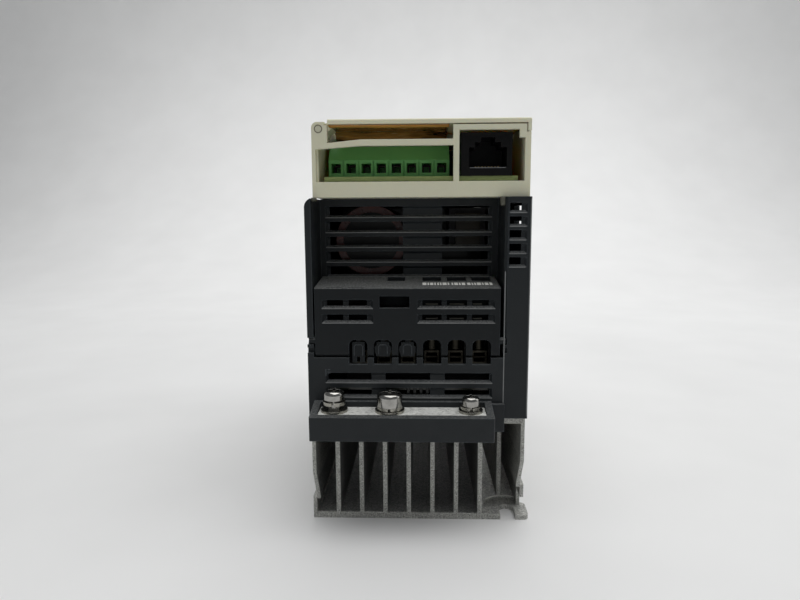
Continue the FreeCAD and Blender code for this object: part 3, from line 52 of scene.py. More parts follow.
class Shade:
    """A Principled material that is put together from small procedural parts."""

    def __init__(self, name):
        self.material = bpy.data.materials.new(name)
        self.material.use_nodes = True
        self.tree = self.material.node_tree
        self.tree.nodes.clear()
        self.out = self.node("ShaderNodeOutputMaterial")
        self.shader = self.node("ShaderNodeBsdfPrincipled")
        self.link(self.shader.outputs["BSDF"], self.out.inputs["Surface"])
        self.where = self.node("ShaderNodeTexCoord").outputs["Object"]
        self.normal = None

    def node(self, kind, **settings):
        made = self.tree.nodes.new(kind)
        for key, value in settings.items():
            setattr(made, key, value)
        return made

    def link(self, source, target):
        self.tree.links.new(source, target)

    def set(self, **sockets):
        for key, value in sockets.items():
            self.shader.inputs[key.replace("_", " ")].default_value = value

    def feed(self, socket, source):
        self.link(source, self.shader.inputs[socket])

    def stretched(self, stretch):
        if stretch == (1, 1, 1):
            return self.where
        mapping = self.node("ShaderNodeMapping")
        mapping.inputs["Scale"].default_value = stretch
        self.link(self.where, mapping.inputs["Vector"])
        return mapping.outputs["Vector"]

    def noise(self, size_mm, detail=3.0, rough=0.55, distort=0.0, stretch=(1, 1, 1)):
        made = self.node("ShaderNodeTexNoise")
        self.link(self.stretched(stretch), made.inputs["Vector"])
        made.inputs["Scale"].default_value = 1.0 / (size_mm * MM)
        made.inputs["Detail"].default_value = detail
        made.inputs["Roughness"].default_value = rough
        made.inputs["Distortion"].default_value = distort
        return made.outputs["Fac"]

    def cells(self, size_mm, feature="F1", stretch=(1, 1, 1)):
        made = self.node("ShaderNodeTexVoronoi", feature=feature)
        self.link(self.stretched(stretch), made.inputs["Vector"])
        made.inputs["Scale"].default_value = 1.0 / (size_mm * MM)
        return made.outputs["Distance"]

    def span(self, fac, low, high, to_low=0.0, to_high=1.0):
        made = self.node("ShaderNodeMapRange")
        self.link(fac, made.inputs["Value"])
        for key, value in (("From Min", low), ("From Max", high), ("To Min", to_low), ("To Max", to_high)):
            made.inputs[key].default_value = value
        return made.outputs["Result"]

    def math(self, operation, left, right):
        made = self.node("ShaderNodeMath", operation=operation)
        for socket, value in zip(made.inputs, (left, right)):
            if isinstance(value, (int, float)):
                socket.default_value = value
            else:
                self.link(value, socket)
        return made.outputs[0]

    def blend(self, fac, first, second, mode="MIX"):
        made = self.node("ShaderNodeMix", data_type="RGBA", blend_type=mode)
        for socket, value in zip((made.inputs[0], made.inputs[6], made.inputs[7]), (fac, first, second)):
            if isinstance(value, (int, float)):
                socket.default_value = value
            elif isinstance(value, tuple):
                socket.default_value = value if len(value) == 4 else value + (1,)
            else:
                self.link(value, socket)
        return made.outputs[2]

    def rounded(self, radius_mm):
        made = self.node("ShaderNodeBevel", samples=4)
        made.inputs["Radius"].default_value = radius_mm * MM
        self.normal = made.outputs["Normal"]
        return self.normal

    def facing(self, axis):
        """The surface normal's part along X, Y or Z."""
        split = self.node("ShaderNodeSeparateXYZ")
        self.link(self.node("ShaderNodeNewGeometry").outputs["Normal"], split.inputs[0])
        return split.outputs[axis]

    def sideways(self):
        """1 on faces that stand upright, 0 on level ones."""
        return self.span(self.math("ABSOLUTE", self.facing("Z"), 0), 0.6, 0.3)

    def edges(self, radius_mm, gain=2.5):
        """About 1 along convex and concave edges, 0 on flat faces."""
        soft = self.node("ShaderNodeBevel", samples=4)
        soft.inputs["Radius"].default_value = radius_mm * MM
        flat = self.node("ShaderNodeNewGeometry").outputs["Normal"]
        dot = self.node("ShaderNodeVectorMath", operation="DOT_PRODUCT")
        self.link(soft.outputs["Normal"], dot.inputs[0])
        self.link(flat, dot.inputs[1])
        return self.span(dot.outputs["Value"], 1.0, 1.0 - 1.0 / gain)

    def bump(self, height, depth_mm, strength=1.0):
        made = self.node("ShaderNodeBump")
        made.inputs["Strength"].default_value = strength
        made.inputs["Distance"].default_value = depth_mm * MM
        self.link(height, made.inputs["Height"])
        if self.normal is not None:
            self.link(self.normal, made.inputs["Normal"])
        self.normal = made.outputs["Normal"]

    def done(self):
        if self.normal is not None:
            self.feed("Normal", self.normal)
        return self.material


def tint(colour, factor):
    return tuple(min(1.0, channel * factor) for channel in colour)


def moulded(name, colour, rough=0.5, grain_mm=0.32, grain_depth=0.012, edge_wear_and_highlight=1.35, mottle=0.06,
            dust=0.0, edge_mm=0.25, glow=0.0, shine=0.5, scuff_and_highlight_range=(0.42, 0.62)):
    """Spark-textured injection moulding with slight mottling, edges lightened by handling wear and, where the
    factor is large, by painted highlight, and a little dust.
    """
    shade = Shade(name)
    shade.rounded(edge_mm)
    broad = shade.noise(14, detail=4)
    fine = shade.noise(grain_mm, detail=2)
    base = shade.blend(shade.span(broad, 0.3, 0.7), tint(colour, 1 - mottle), tint(colour, 1 + mottle))
    base = shade.blend(shade.span(fine, 0.35, 0.7, 0, 0.35), base, tint(colour, 1 + 3 * mottle))
    # Edges lightened along a noise: handling wear, and with a large factor also a painted highlight where
    # edges would catch the light.
    scuffed_and_highlit_edges = shade.math("MULTIPLY", shade.edges(edge_mm * 1.6), shade.span(shade.noise(3, detail=5), *scuff_and_highlight_range))
    base = shade.blend(scuffed_and_highlit_edges, base, tint(colour, edge_wear_and_highlight))
    if dust:
        upward = shade.span(shade.facing("Z"), 0.2, 0.95)
        speckled = shade.span(shade.noise(0.45, detail=6, rough=0.7), 0.4, 0.66, 0.15, 1.5)
        settled = shade.math("MULTIPLY", shade.math("MULTIPLY", upward, speckled), dust)
        base = shade.blend(settled, base, (0.47, 0.48, 0.47))
    shade.feed("Base Color", base)
    shade.feed("Roughness", shade.span(shade.noise(5, detail=5), 0.3, 0.7, rough - 0.05, rough + 0.08))
    shade.set(Specular_IOR_Level=shine)
    if glow:
        shade.set(Subsurface_Weight=glow, Subsurface_Radius=(0.004, 0.0025, 0.001), Subsurface_Scale=1.0)
    shade.bump(shade.cells(grain_mm), grain_depth)
    return shade.done()


def painted_channel_shade_mask(shade):
    """1 on the surfaces inside the channels, which get painted shade and a rougher finish, 0 on the sawn ends
    and outside.
    """
    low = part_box("heatsink")[0]
    wall, last_fin, fade = 1.4 * MM, 56.2 * MM, 0.3 * MM
    split = shade.node("ShaderNodeSeparateXYZ")
    shade.link(shade.where, split.inputs[0])
    across, along, level = split.outputs
    left, right = low[0] + wall, low[0] + last_fin
    between = shade.math("MULTIPLY", shade.span(across, left, left + fade),
                         shade.span(across, right, right - fade))
    behind = shade.span(along, low[1] + fade, low[1] + 4 * fade)
    above = shade.span(level, low[2] + 1.7 * MM, low[2] + 1.9 * MM)
    return shade.math("MULTIPLY", between, shade.math("MULTIPLY", behind, above))


def cast_aluminium(name):
    shade = Shade(name)
    shade.rounded(0.2)
    broad = shade.noise(9, detail=6, distort=0.4)
    streak = shade.noise(1.1, detail=4, stretch=(1, 0.04, 1))
    speck = shade.noise(0.45, detail=3)
    colour = shade.blend(shade.span(broad, 0.3, 0.7), (0.33, 0.332, 0.31), (0.45, 0.452, 0.425))
    colour = shade.blend(shade.span(streak, 0.4, 0.75, 0, 0.5), colour, (0.2, 0.2, 0.19))
    colour = shade.blend(shade.span(speck, 0.5, 0.66, 0, 0.8), colour, (0.66, 0.66, 0.62))
    colour = shade.blend(shade.span(speck, 0.48, 0.32, 0, 0.7), colour, (0.1, 0.1, 0.095))
    # Edges lightened: partly bare rubbed metal, partly painted highlight on the fin fronts.
    bare_and_highlit_edges = shade.math("MULTIPLY", shade.edges(0.3), shade.span(shade.noise(2.2, detail=5), 0.35, 0.6))
    colour = shade.blend(bare_and_highlit_edges, colour, (0.85, 0.85, 0.8))
    # Painted shade: the inside of the channels is darkened towards near black where the fins would shade it.
    # It is also made rougher.
    painted_shade_and_dullness = painted_channel_shade_mask(shade)
    colour = shade.blend(shade.math("MULTIPLY", painted_shade_and_dullness, 0.6), colour, (0.05, 0.053, 0.053))
    shade.feed("Base Color", colour)
    shade.set(Metallic=0.45, Specular_IOR_Level=0.25)
    rough = shade.span(shade.noise(3.5, detail=6), 0.3, 0.7, 0.45, 0.65)
    shade.feed("Roughness", shade.math("ADD", rough, shade.math("MULTIPLY", painted_shade_and_dullness, 0.25)))
    shade.bump(streak, 0.03)
    shade.bump(speck, 0.06)
    return shade.done()


def plated(name, colour=(0.72, 0.71, 0.68), rough=0.24, brushed=(1, 1, 1), stain=0.25, metal=1.0):
    shade = Shade(name)
    shade.rounded(0.12)
    cloud = shade.noise(2.4, detail=6)
    grain = shade.noise(0.3, detail=3, stretch=brushed)
    base = shade.blend(shade.span(cloud, 0.35, 0.7, 0, stain), colour, tint(colour, 0.6))
    base = shade.blend(shade.span(grain, 0.45, 0.8, 0, 0.35), base, tint(colour, 1.25))
    shade.feed("Base Color", base)
    shade.set(Metallic=metal)
    shade.feed("Roughness", shade.span(cloud, 0.3, 0.7, rough - 0.06, rough + 0.12))
    shade.bump(grain, 0.0015)
    return shade.done()


def rough_zinc(name, colour, spots):
    """Stamped plate with a coarse rolled skin, dark pits and bright rubbed spots."""
    shade = Shade(name)
    shade.rounded(0.12)
    coarse = shade.noise(0.9, detail=6, rough=0.7, stretch=(0.6, 1, 1))
    cloud = shade.noise(6, detail=4)
    base = shade.blend(shade.span(cloud, 0.35, 0.65), tint(colour, 0.85), colour)
    base = shade.blend(shade.span(coarse, 0.5, 0.36, 0, 0.75), base, tint(colour, 0.35))
    base = shade.blend(shade.span(coarse, 0.56, 0.68, 0, 0.8), base, spots)
    shade.feed("Base Color", base)
    shade.set(Metallic=0.15)
    shade.feed("Roughness", shade.span(coarse, 0.3, 0.7, 0.35, 0.6))
    shade.bump(coarse, 0.06)
    return shade.done()


def circuit_board(name, mask=(0.06, 0.13, 0.03), copper=(0.1, 0.19, 0.05), rim=(0.3, 0.37, 0.13)):
    """Solder mask over copper: tracks as a network of straight cells, with glass weave under it."""
    shade = Shade(name)
    brick = shade.node("ShaderNodeTexBrick")
    shade.link(shade.stretched((1, 1, 1)), brick.inputs["Vector"])
    brick.inputs["Scale"].default_value = 160
    brick.inputs["Mortar Size"].default_value = 0.06
    brick.inputs["Color1"].default_value = (0, 0, 0, 1)
    brick.inputs["Color2"].default_value = (0.12, 0.12, 0.12, 1)
    brick.inputs["Mortar"].default_value = (1, 1, 1, 1)
    pour = shade.span(shade.noise(6, detail=0), 0.48, 0.5)
    pattern = shade.math("MAXIMUM", brick.outputs["Color"], pour)
    base = shade.blend(pattern, mask, copper)
    weave = shade.noise(0.5, detail=1)
    base = shade.blend(shade.span(weave, 0.4, 0.6, 0, 0.25), base, tint(mask, 0.7))
    layers = shade.blend(shade.span(shade.noise(0.25, stretch=(0.1, 0.1, 1)), 0.4, 0.6), rim, tint(rim, 0.75))
    base = shade.blend(shade.sideways(), base, layers)
    shade.feed("Base Color", base)
    shade.set(Roughness=0.32, Coat_Weight=0.3)
    shade.bump(pattern, 0.03)
    return shade.done()


def shrink_sleeve(name):
    shade = Shade(name)
    shade.rounded(0.3)
    base = shade.blend(shade.span(shade.noise(4, detail=4), 0.35, 0.7),
                       (0.05, 0.006, 0.003), (0.1, 0.014, 0.008))
    shade.feed("Base Color", base)
    shade.feed("Roughness", shade.span(shade.noise(2.0, detail=3), 0.3, 0.7, 0.22, 0.4))
    shade.bump(shade.noise(3.0, detail=2, stretch=(1, 0.2, 1)), 0.15)
    return shade.done()


def smoked_window(name):
    shade = Shade(name)
    shade.set(Transmission_Weight=0.85, IOR=1.49)
    shade.feed("Base Color", shade.blend(shade.span(shade.noise(7, detail=3), 0.3, 0.7),
                                         (0.16, 0.05, 0.04), (0.2, 0.07, 0.055)))
    shade.feed("Roughness", shade.span(shade.noise(3.0, detail=6), 0.4, 0.8, 0.03, 0.14))
    return shade.done()


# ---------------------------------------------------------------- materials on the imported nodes

DARK = (0.0138, 0.0168, 0.0188)
IVORY = (0.705, 0.69, 0.525)

SHADES = {
    "aluminium": cast_aluminium("cast_aluminium"),
    # The dark mouldings get edges about seven times lighter: painted highlight along their edges, with some
    # handling wear.
    "dark": moulded("dark_moulding", DARK, rough=0.48, dust=0.2, edge_wear_and_highlight=7.5, shine=0.3,
                     scuff_and_highlight_range=(0.25, 0.6)),
    "dark_cover": moulded("dark_cover", tint(DARK, 0.67), rough=0.46, dust=0.36, edge_wear_and_highlight=7.5,
                           shine=0.22, scuff_and_highlight_range=(0.25, 0.6)),
    "ivory_pin": moulded("ivory_pin", tint(IVORY, 0.85), rough=0.45, mottle=0.03),
    "ivory": moulded("ivory_moulding", IVORY, rough=0.42, edge_wear_and_highlight=1.12, mottle=0.025, glow=0.12),
    "ivory_door": moulded("ivory_door", tint(IVORY, 1.03), rough=0.38, edge_wear_and_highlight=1.1, mottle=0.02, glow=0.12),
    "green": moulded("green_polyamide", (0.2, 0.6, 0.18), rough=0.36, edge_wear_and_highlight=1.3, grain_mm=0.2, glow=0.05),
    "black": moulded("black_polyamide", (0.003, 0.003, 0.0032), shine=0.2, rough=0.42, grain_mm=0.25),
    "bar": rough_zinc("zinc_bar", (0.95, 0.955, 0.91), (0.95, 0.95, 0.92)),
    "bar_mark": rough_zinc("stamped_mark", (0.9, 0.9, 0.87), (1.0, 1.0, 0.98)),
    "nickel": plated("nickel_screw", (0.4, 0.392, 0.37), rough=0.14, stain=0.7),
    "zinc": plated("zinc_washer", (0.36, 0.35, 0.31), rough=0.24, stain=0.6),
    # Tinned clamps and terminal screws coloured near black: painted shade of the cable ways and terminal
    # insides, where little light reaches.
    "shaded_tin": plated("tinned_clamp_painted_shade", (0.07, 0.064, 0.05), rough=0.4, stain=0.5),
    "gold": plated("gold_contact", (0.3, 0.22, 0.1), rough=0.25),
    "board": circuit_board("control_board_mask"),
    "dark_board": circuit_board("power_board_mask", (0.03, 0.08, 0.03), (0.05, 0.12, 0.045),
                                (0.02, 0.025, 0.015)),
    "sleeve": shrink_sleeve("shrink_sleeve"),
    "print": moulded("key_print", (0.75, 0.75, 0.72), rough=0.5, grain_mm=0.3, mottle=0.04),
    "rib": moulded("black_rib", (0.012, 0.0125, 0.013), rough=0.4, edge_mm=0.2, edge_wear_and_highlight=3.0),
    "hook": moulded("hook_end", tint(IVORY, 0.12), rough=0.3, grain_mm=0.2),
    # Capacitor cans coloured near black.
    "can": moulded("capacitor_near_black", (0.006, 0.006, 0.006), rough=0.6, grain_mm=0.6),
    "copper": plated("enamelled_copper", (0.5, 0.17, 0.06), rough=0.28),
    "ferrite": moulded("ferrite", (0.05, 0.05, 0.052), rough=0.6, grain_mm=0.5),
    "tape": moulded("yellow_tape", (0.045, 0.036, 0.02), rough=0.4, grain_mm=0.8, mottle=0.1),
    "key": moulded("grey_key", (0.085, 0.09, 0.097), rough=0.45, grain_mm=0.2),
    "lens": moulded("red_lens", (0.3, 0.03, 0.02), rough=0.2, grain_mm=0.2, glow=0.2),
    "pad": moulded("thermal_pad", (0.3, 0.3, 0.32), rough=0.7, grain_mm=0.4),
    "smoked": smoked_window("smoked_window"),
    "brass": plated("brass_standoff", (0.62, 0.5, 0.28), rough=0.3),
}

NODE_SHADES = {
    "aluminium": ["heatsink"],
    "dark": ["power_housing", "earth_bar_carrier"],
    "dark_cover": ["terminal_cover"],
    "ivory": ["control_housing"],
    "ivory_door": ["front_door"],
    "green": ["control_terminal_block"],
    "black": ["network_socket", "power_terminal_block", "display_module", "tact_switches",
              "microcontroller", "power_module", "inrush_relay"],
    "bar": ["earth_bar"],
    "nickel": ["earth_screws", "earth_screw_large"],
    "zinc": ["flat_washers", "spring_washers", "control_board_screws", "board_screws", "module_screws"],
    "shaded_tin": ["power_terminal_clamps", "power_terminal_screws", "control_terminal_screws",
            "control_terminal_clamps"],
    "ivory_pin": ["door_hinge_pins"],
    "gold": ["network_contacts"],
    "board": ["control_board"],
    "dark_board": ["power_board", "capacitor_board", "board_link"],
    "sleeve": ["capacitor_sleeves"],
    "can": ["capacitor_cans"],
    "copper": ["choke_winding"],
    "ferrite": ["choke_core", "transformer_core"],
    "tape": ["transformer_winding", "film_capacitor"],
    "key": ["key_enter", "key_escape", "key_down", "key_up"],
    "lens": ["status_lights"],
    "pad": ["thermal_pad"],
    "smoked": ["display_window"],
    "brass": ["board_standoffs"],
}


def dress_nodes():
    for shade, names in NODE_SHADES.items():
        for name in names:
            slots = NODES[name].data.materials
            for index in range(len(slots)):
                slots[index] = SHADES[shade]


dress_nodes()


# ---------------------------------------------------------------- small pieces that ride on the bodies

# Places of louvres, cable ways, shelf and rims in the nodes (mm); a box doesn't tell them.
RECESS_FACE = -49.5
RECESS_ROWS, RECESS_LEDGE, RECESS_PITCH = 5, 79.95, 5.06
COLUMN_LEDGE, COLUMN_PITCH = 84.7, 4.2
LOWER_ROWS, LOWER_LEDGE, LOWER_PITCH = 2, 42.6, 4.9
COVER_ROWS, COVER_LEDGE, COVER_PITCH = 2, 67.0, 4.65
COVER_LOUVRES = ((-30.4, -14.0), (0.0, 24.5))
SHELF_FRONT, SHELF_LEVEL = -67.5, 77.8
TONGUE_FACE = -67.0
FIRST_WAY, WAY_PITCH, CLOSED_WAYS = -18.9, 7.86, 3
SEAT_LEVEL, SEAT_RADIUS = 2.0, 8.0
BAR_LINE = -72.6


def box_mm(node):
    low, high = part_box(node)
    return [value * 1000 for value in low], [value * 1000 for value in high]


def new_piece(name, mesh_or_curve, body, shade):
    piece = bpy.data.objects.new(name, mesh_or_curve)
    bpy.context.scene.collection.objects.link(piece)
    mesh_or_curve.materials.append(shade)
    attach(piece, body)
    return piece


def ring_of_verts(bm, outline, axis, level):
    """Vertices of an outline (mm) that lies across the axis at a level (mm)."""
    across, along, through = AXES[axis]
    ring = []
    for u, v in outline:
        point = [0.0, 0.0, 0.0]
        point[across], point[along], point[through] = u * MM, v * MM, level * MM
        ring.append(bm.verts.new(point))
    return ring


def prism(bm, outline, axis, start, end):
    """Closed prism in a bmesh: the outline (mm) lies across the axis, from start to end (mm)."""
    rings = [ring_of_verts(bm, outline, axis, level) for level in (start, end)]
    count = len(outline)
    bm.faces.new(rings[0])
    bm.faces.new(list(reversed(rings[1])))
    for index in range(count):
        following = (index + 1) % count
        bm.faces.new((rings[0][following], rings[0][index], rings[1][index], rings[1][following]))


def oblong(left, right, low, high, radius=0.2, steps=3):
    """Rectangle with rounded corners, as a list of points (mm)."""
    radius = min(radius, (right - left) / 2.01, (high - low) / 2.01)
    points = []
    corners = ((right - radius, high - radius, 0), (left + radius, high - radius, 90),
               (left + radius, low + radius, 180), (right - radius, low + radius, 270))
    for across, along, turn in corners:
        for step in range(steps + 1):
            angle = math.radians(turn + 90 * step / steps)
            points.append((across + radius * math.cos(angle), along + radius * math.sin(angle)))
    return points


def disc(across, along, radius, count=24):
    return [(across + radius * math.cos(2 * math.pi * step / count),
             along + radius * math.sin(2 * math.pi * step / count)) for step in range(count)]


def finish_mesh(name, bm, body, shade, bevel=0.0, turn=None):
    if turn is not None:
        bmesh.ops.transform(bm, matrix=turn, verts=bm.verts)
    bmesh.ops.recalc_face_normals(bm, faces=bm.faces)
    mesh = bpy.data.meshes.new(name)
    bm.to_mesh(mesh)
    bm.free()
    piece = new_piece(name, mesh, body, shade)
    if bevel:
        edge = piece.modifiers.new("soft_edges", "BEVEL")
        edge.width = bevel * MM
        edge.segments = 2
        edge.limit_method = "ANGLE"
    return piece


def outlines_piece(name, outlines, axis, start, end, body, shade, bevel=0.0, turn=None):
    bm = bmesh.new()
    for outline in outlines:
        prism(bm, outline, axis, start, end)
    return finish_mesh(name, bm, body, shade, bevel, turn)


def amber_film_shade():
    shade = Shade("amber_film")
    streak = shade.noise(7, detail=4, distort=1.2, stretch=(0.25, 1, 1.6))
    fine = shade.noise(1.5, detail=5, stretch=(0.2, 1, 1.5))
    colour = shade.blend(shade.span(streak, 0.35, 0.65), (0.08, 0.03, 0.007), (0.8, 0.38, 0.09))
    colour = shade.blend(shade.span(fine, 0.5, 0.7, 0, 0.7), colour, (0.5, 0.3, 0.1))
    shade.feed("Base Color", colour)
    shade.feed("Roughness", shade.span(fine, 0.3, 0.7, 0.12, 0.3))
    shade.set(Coat_Weight=0.7)
    shade.bump(streak, 0.6)
    return shade.done()


def make_amber_film():
    """Insulating film under the door, hanging down behind the upper slot."""
    low, high = box_mm("control_terminal_block")
    ceiling = box_mm("front_door")[1][2] - 1.7
    left, right = low[0] + 1.6, high[0] - 0.6
    path = [(-63.3, ceiling - 0.05), (-58.0, ceiling - 0.2), (-52.0, ceiling - 0.1), (-47.5, ceiling - 0.3),
            (-45.6, ceiling - 0.9), (-44.2, ceiling - 1.9), (-43.2, ceiling - 3.0)]
    columns = 48
    bm = bmesh.new()
    rows = []
    for index, (along, level) in enumerate(path):
        row = []
        for step in range(columns + 1):
            across = left + (right - left) * step / columns
            wave = 0.14 * math.sin(across * 0.55 + index) + 0.1 * math.sin(across * 1.3 + 2 * index)
            sink = max(0.0, wave) if index > 3 else 0.0
            row.append(bm.verts.new((across * MM, (along + 2 * wave * (index > 3)) * MM,
                                     (level - sink) * MM)))
        rows.append(row)
    for lower, upper in zip(rows, rows[1:]):
        for step in range(columns):
            bm.faces.new((lower[step], lower[step + 1], upper[step + 1], upper[step]))
    piece = finish_mesh("insulating_film", bm, "chassis", amber_film_shade())
    for polygon in piece.data.polygons:
        polygon.use_smooth = True
    thick = piece.modifiers.new("thickness", "SOLIDIFY")
    thick.thickness = 0.12 * MM
    thick.offset = 0


def shelf_turn(top_line, top_level, front_line, front_level):
    """Matrix that lays a drawing on the XY plane down on the sloping shelf of the cover."""
    slope = math.atan2(top_level - front_level, top_line - front_line)
    return Matrix.Translation((0, front_line * MM, front_level * MM)) @ Matrix.Rotation(slope, 4, "X")


def paint(name, colour):
    return moulded(name, colour, rough=0.55, grain_mm=0.3, mottle=0.05, edge_wear_and_highlight=0.9, edge_mm=0.05)


def make_cover_marks():
    """Worn white marks beside the screwdriver holes: plain bars, one group for each pole."""
    high = box_mm("terminal_cover")[1]
    turn = shelf_turn(high[1] - 0.15, high[2], SHELF_FRONT, SHELF_LEVEL)
    groups = [(1.6, (1.3, 0.5, 1.0, 0.5)), (6.4, (0.5, 0.5, 1.3, 0.5)), (11.0, (0.5, 1.2, 0.5, 1.1)),
              (16.0, (1.1, 0.5, 0.5, 1.3)), (20.8, (0.5, 1.2, 0.9))]
    foot, head, gap = 4.2, 7.6, 0.35
    bars = []
    for start, widths in groups:
        across = start
        for width in widths:
            bars.append(oblong(across, across + width, foot, head, 0.2))
            across += width + gap
    outlines_piece("cover_marks", bars, "Z", 0.0, 0.05, "cover",
                   paint("white_print", (0.85, 0.85, 0.81)), turn=turn)
    rib_long, rib_foot, rib_head = 5.0, 0.7, 1.0
    ribs = [oblong(left, left + rib_long, rib_foot, rib_head, 0.1) for left in (-29.0, -22.0)]
    outlines_piece("cover_grip_ribs", ribs, "Z", -0.1, 0.12, "cover",
                   SHADES["dark_cover"], turn=turn)


def make_snap_hooks():
    """Ends of the ivory snap hooks that hold the control head, beside the recess."""
    base = box_mm("control_housing")[0][2]
    hooks = (("snap_hook_left", -33.1, -31.5, 1.3), ("snap_hook_right", 25.7, 27.15, 2.9))
    for name, left, right, depth in hooks:
        bm = bmesh.new()
        prism(bm, [(-66.9, base - depth + 0.5), (-66.3, base - depth), (-65.2, base - depth + 0.2),
                   (-64.6, base - 0.05), (-66.9, base - 0.05)], "X", left, right)
        finish_mesh(name, bm, "chassis", SHADES["hook"], bevel=0.3)


def make_bar_marks():
    """Raised earth symbol and arrow strokes stamped in the earth bar."""
    top = box_mm("earth_bar")[1][2]
    symbol, arrow = -1.0, 9.0
    strokes = [oblong(symbol - 0.15, symbol + 0.15, BAR_LINE + 0.2, BAR_LINE + 2.2, 0.1)]
    for half, along in ((1.5, 0.2), (1.0, -0.6), (0.5, -1.4)):
        strokes.append(oblong(symbol - half, symbol + half, BAR_LINE + along - 0.3, BAR_LINE + along, 0.1))
    strokes.append([(arrow + across, BAR_LINE + along) for across, along in
                    ((-1.6, -1.0), (-1.2, -1.0), (0, 0.4), (1.2, -1.0), (1.6, -1.0), (0, 0.9))])
    strokes.append(oblong(arrow - 1.7, arrow + 1.7, BAR_LINE + 1.2, BAR_LINE + 1.5, 0.1))
    outlines_piece("earth_bar_marks", strokes, "Z", top - 0.1, top + 0.2, "chassis",
                   SHADES["bar_mark"], bevel=0.06)


def make_inner_ribs():
    """Ribs and ledges that show inside the lower louvres and the cover; the ledges are coloured light as a
    painted highlight.
    """
    front = box_mm("power_housing")[0][1]
    rib_width, rib_low, rib_high = 1.1, 41.5, 46.5
    ribs = [oblong(left, left + rib_width, front + 1.9, front + 2.8, 0.2) for left in (-3.6, -1.5, 0.6, 2.7)]
    outlines_piece("lower_ribs", ribs, "Z", rib_low, rib_high, "chassis", SHADES["rib"],
                   bevel=0.1)
    # Inner ledges coloured light grey-beige: painted highlight on their tops.
    ledge_height = 0.35
    ledges = [oblong(left, right, level, level + ledge_height, 0.15) for level in (67.55, 72.2)
              for left, right in ((2.6, 6.6), (10.2, 14.9), (17.6, 20.6))]
    outlines_piece("cover_inner_ledges", ledges, "Y", front + 2.2, front + 3.4, "cover",
                   moulded("ledge_painted_highlight", (0.16, 0.155, 0.125), rough=0.4), bevel=0.08)


def make_inner_sheet():
    """Folded insulating sheet that stands inside the three closed sides of the case."""
    high = box_mm("power_housing")[1]
    side, back, front = high[0] - 1.95, high[1] - 2.1, -45.0
    thick, foot, flap_top = 0.25, 56.0, 93.9
    bm = bmesh.new()
    fold = [(-side, front), (-side, back), (side, back), (side, front), (side - thick, front),
            (side - thick, back - thick), (thick - side, back - thick), (thick - side, front)]
    prism(bm, fold, "Z", foot, high[2] - 2.1)
    prism(bm, oblong(side - thick, side, -62.5, front - 0.3, 0.05), "Z", foot, flap_top)
    finish_mesh("insulating_sheet", bm, "chassis",
                moulded("grey_sheet", (0.012, 0.012, 0.012), rough=0.55, grain_mm=0.5, shine=0.2))


def annulus(bm, across, along, inner, outer, axis, start, end, count=32):
    """Closed ring in a bmesh, lying across the axis."""
    loops = [ring_of_verts(bm, disc(across, along, radius, count), axis, level)
             for radius, level in ((inner, start), (outer, start), (outer, end), (inner, end))]
    for index in range(4):
        first, second = loops[index], loops[(index + 1) % 4]
        for step in range(count):
            following = (step + 1) % count
            bm.faces.new((first[step], first[following], second[following], second[step]))


def make_slat_edge_highlights():
    """Painted highlights along the front edges of the louvre slats of the case and of the cover, one thin
    light strip each.
    """
    front = box_mm("power_housing")[0][1]
    proud, sunk, below = 0.04, 0.12, 0.4
    # Strips much lighter than the dark moulding: painted highlight on the slat edges.
    highlight_strip_shade = moulded("painted_edge_highlight", (0.15, 0.155, 0.155), rough=0.35, grain_mm=0.25, mottle=0.25,
                       edge_mm=0.05)
    strips = []
    for row in range(RECESS_ROWS):
        strips.append((-31.4, 25.1, RECESS_FACE, RECESS_LEDGE + RECESS_PITCH * row, 0.34))
        strips.append((28.5, 33.6, front, COLUMN_LEDGE + COLUMN_PITCH * row, 0.3))
    for row in range(LOWER_ROWS):
        strips.append((-29.6, 23.9, front, LOWER_LEDGE + LOWER_PITCH * row, 0.34))
    bm = bmesh.new()
    for left, right, face, ledge, tall in strips:
        prism(bm, oblong(left, right, ledge - below - tall / 2, ledge - below + tall / 2, 0.12), "Y",
              face - proud, face + sunk)
    # Two upright light strips on the edges of the column: painted highlights.
    for left, right, low, high in ((27.25, 27.6, 37.5, 83.0), (34.85, 35.15, 36.2, 105.4)):
        prism(bm, oblong(left, right, low, high, 0.15), "Y", front - proud, front + sunk)
    finish_mesh("slat_edge_highlights", bm, "chassis", highlight_strip_shade)
    bm = bmesh.new()
    for row in range(COVER_ROWS):
        ledge = COVER_LEDGE + COVER_PITCH * row
        for left, right in COVER_LOUVRES:
            prism(bm, oblong(left, right, ledge - 0.54, ledge - 0.3, 0.1), "Y", front - proud, front + sunk)
    # A light strip along the top back edge of the cover: painted highlight.
    high = box_mm("terminal_cover")[1]
    prism(bm, oblong(high[1] - 0.45, high[1] - 0.1, high[2] - 0.2, high[2] + 0.06, 0.1), "X", -31.0, 24.5)
    finish_mesh("cover_slat_edge_highlights", bm, "cover", highlight_strip_shade)


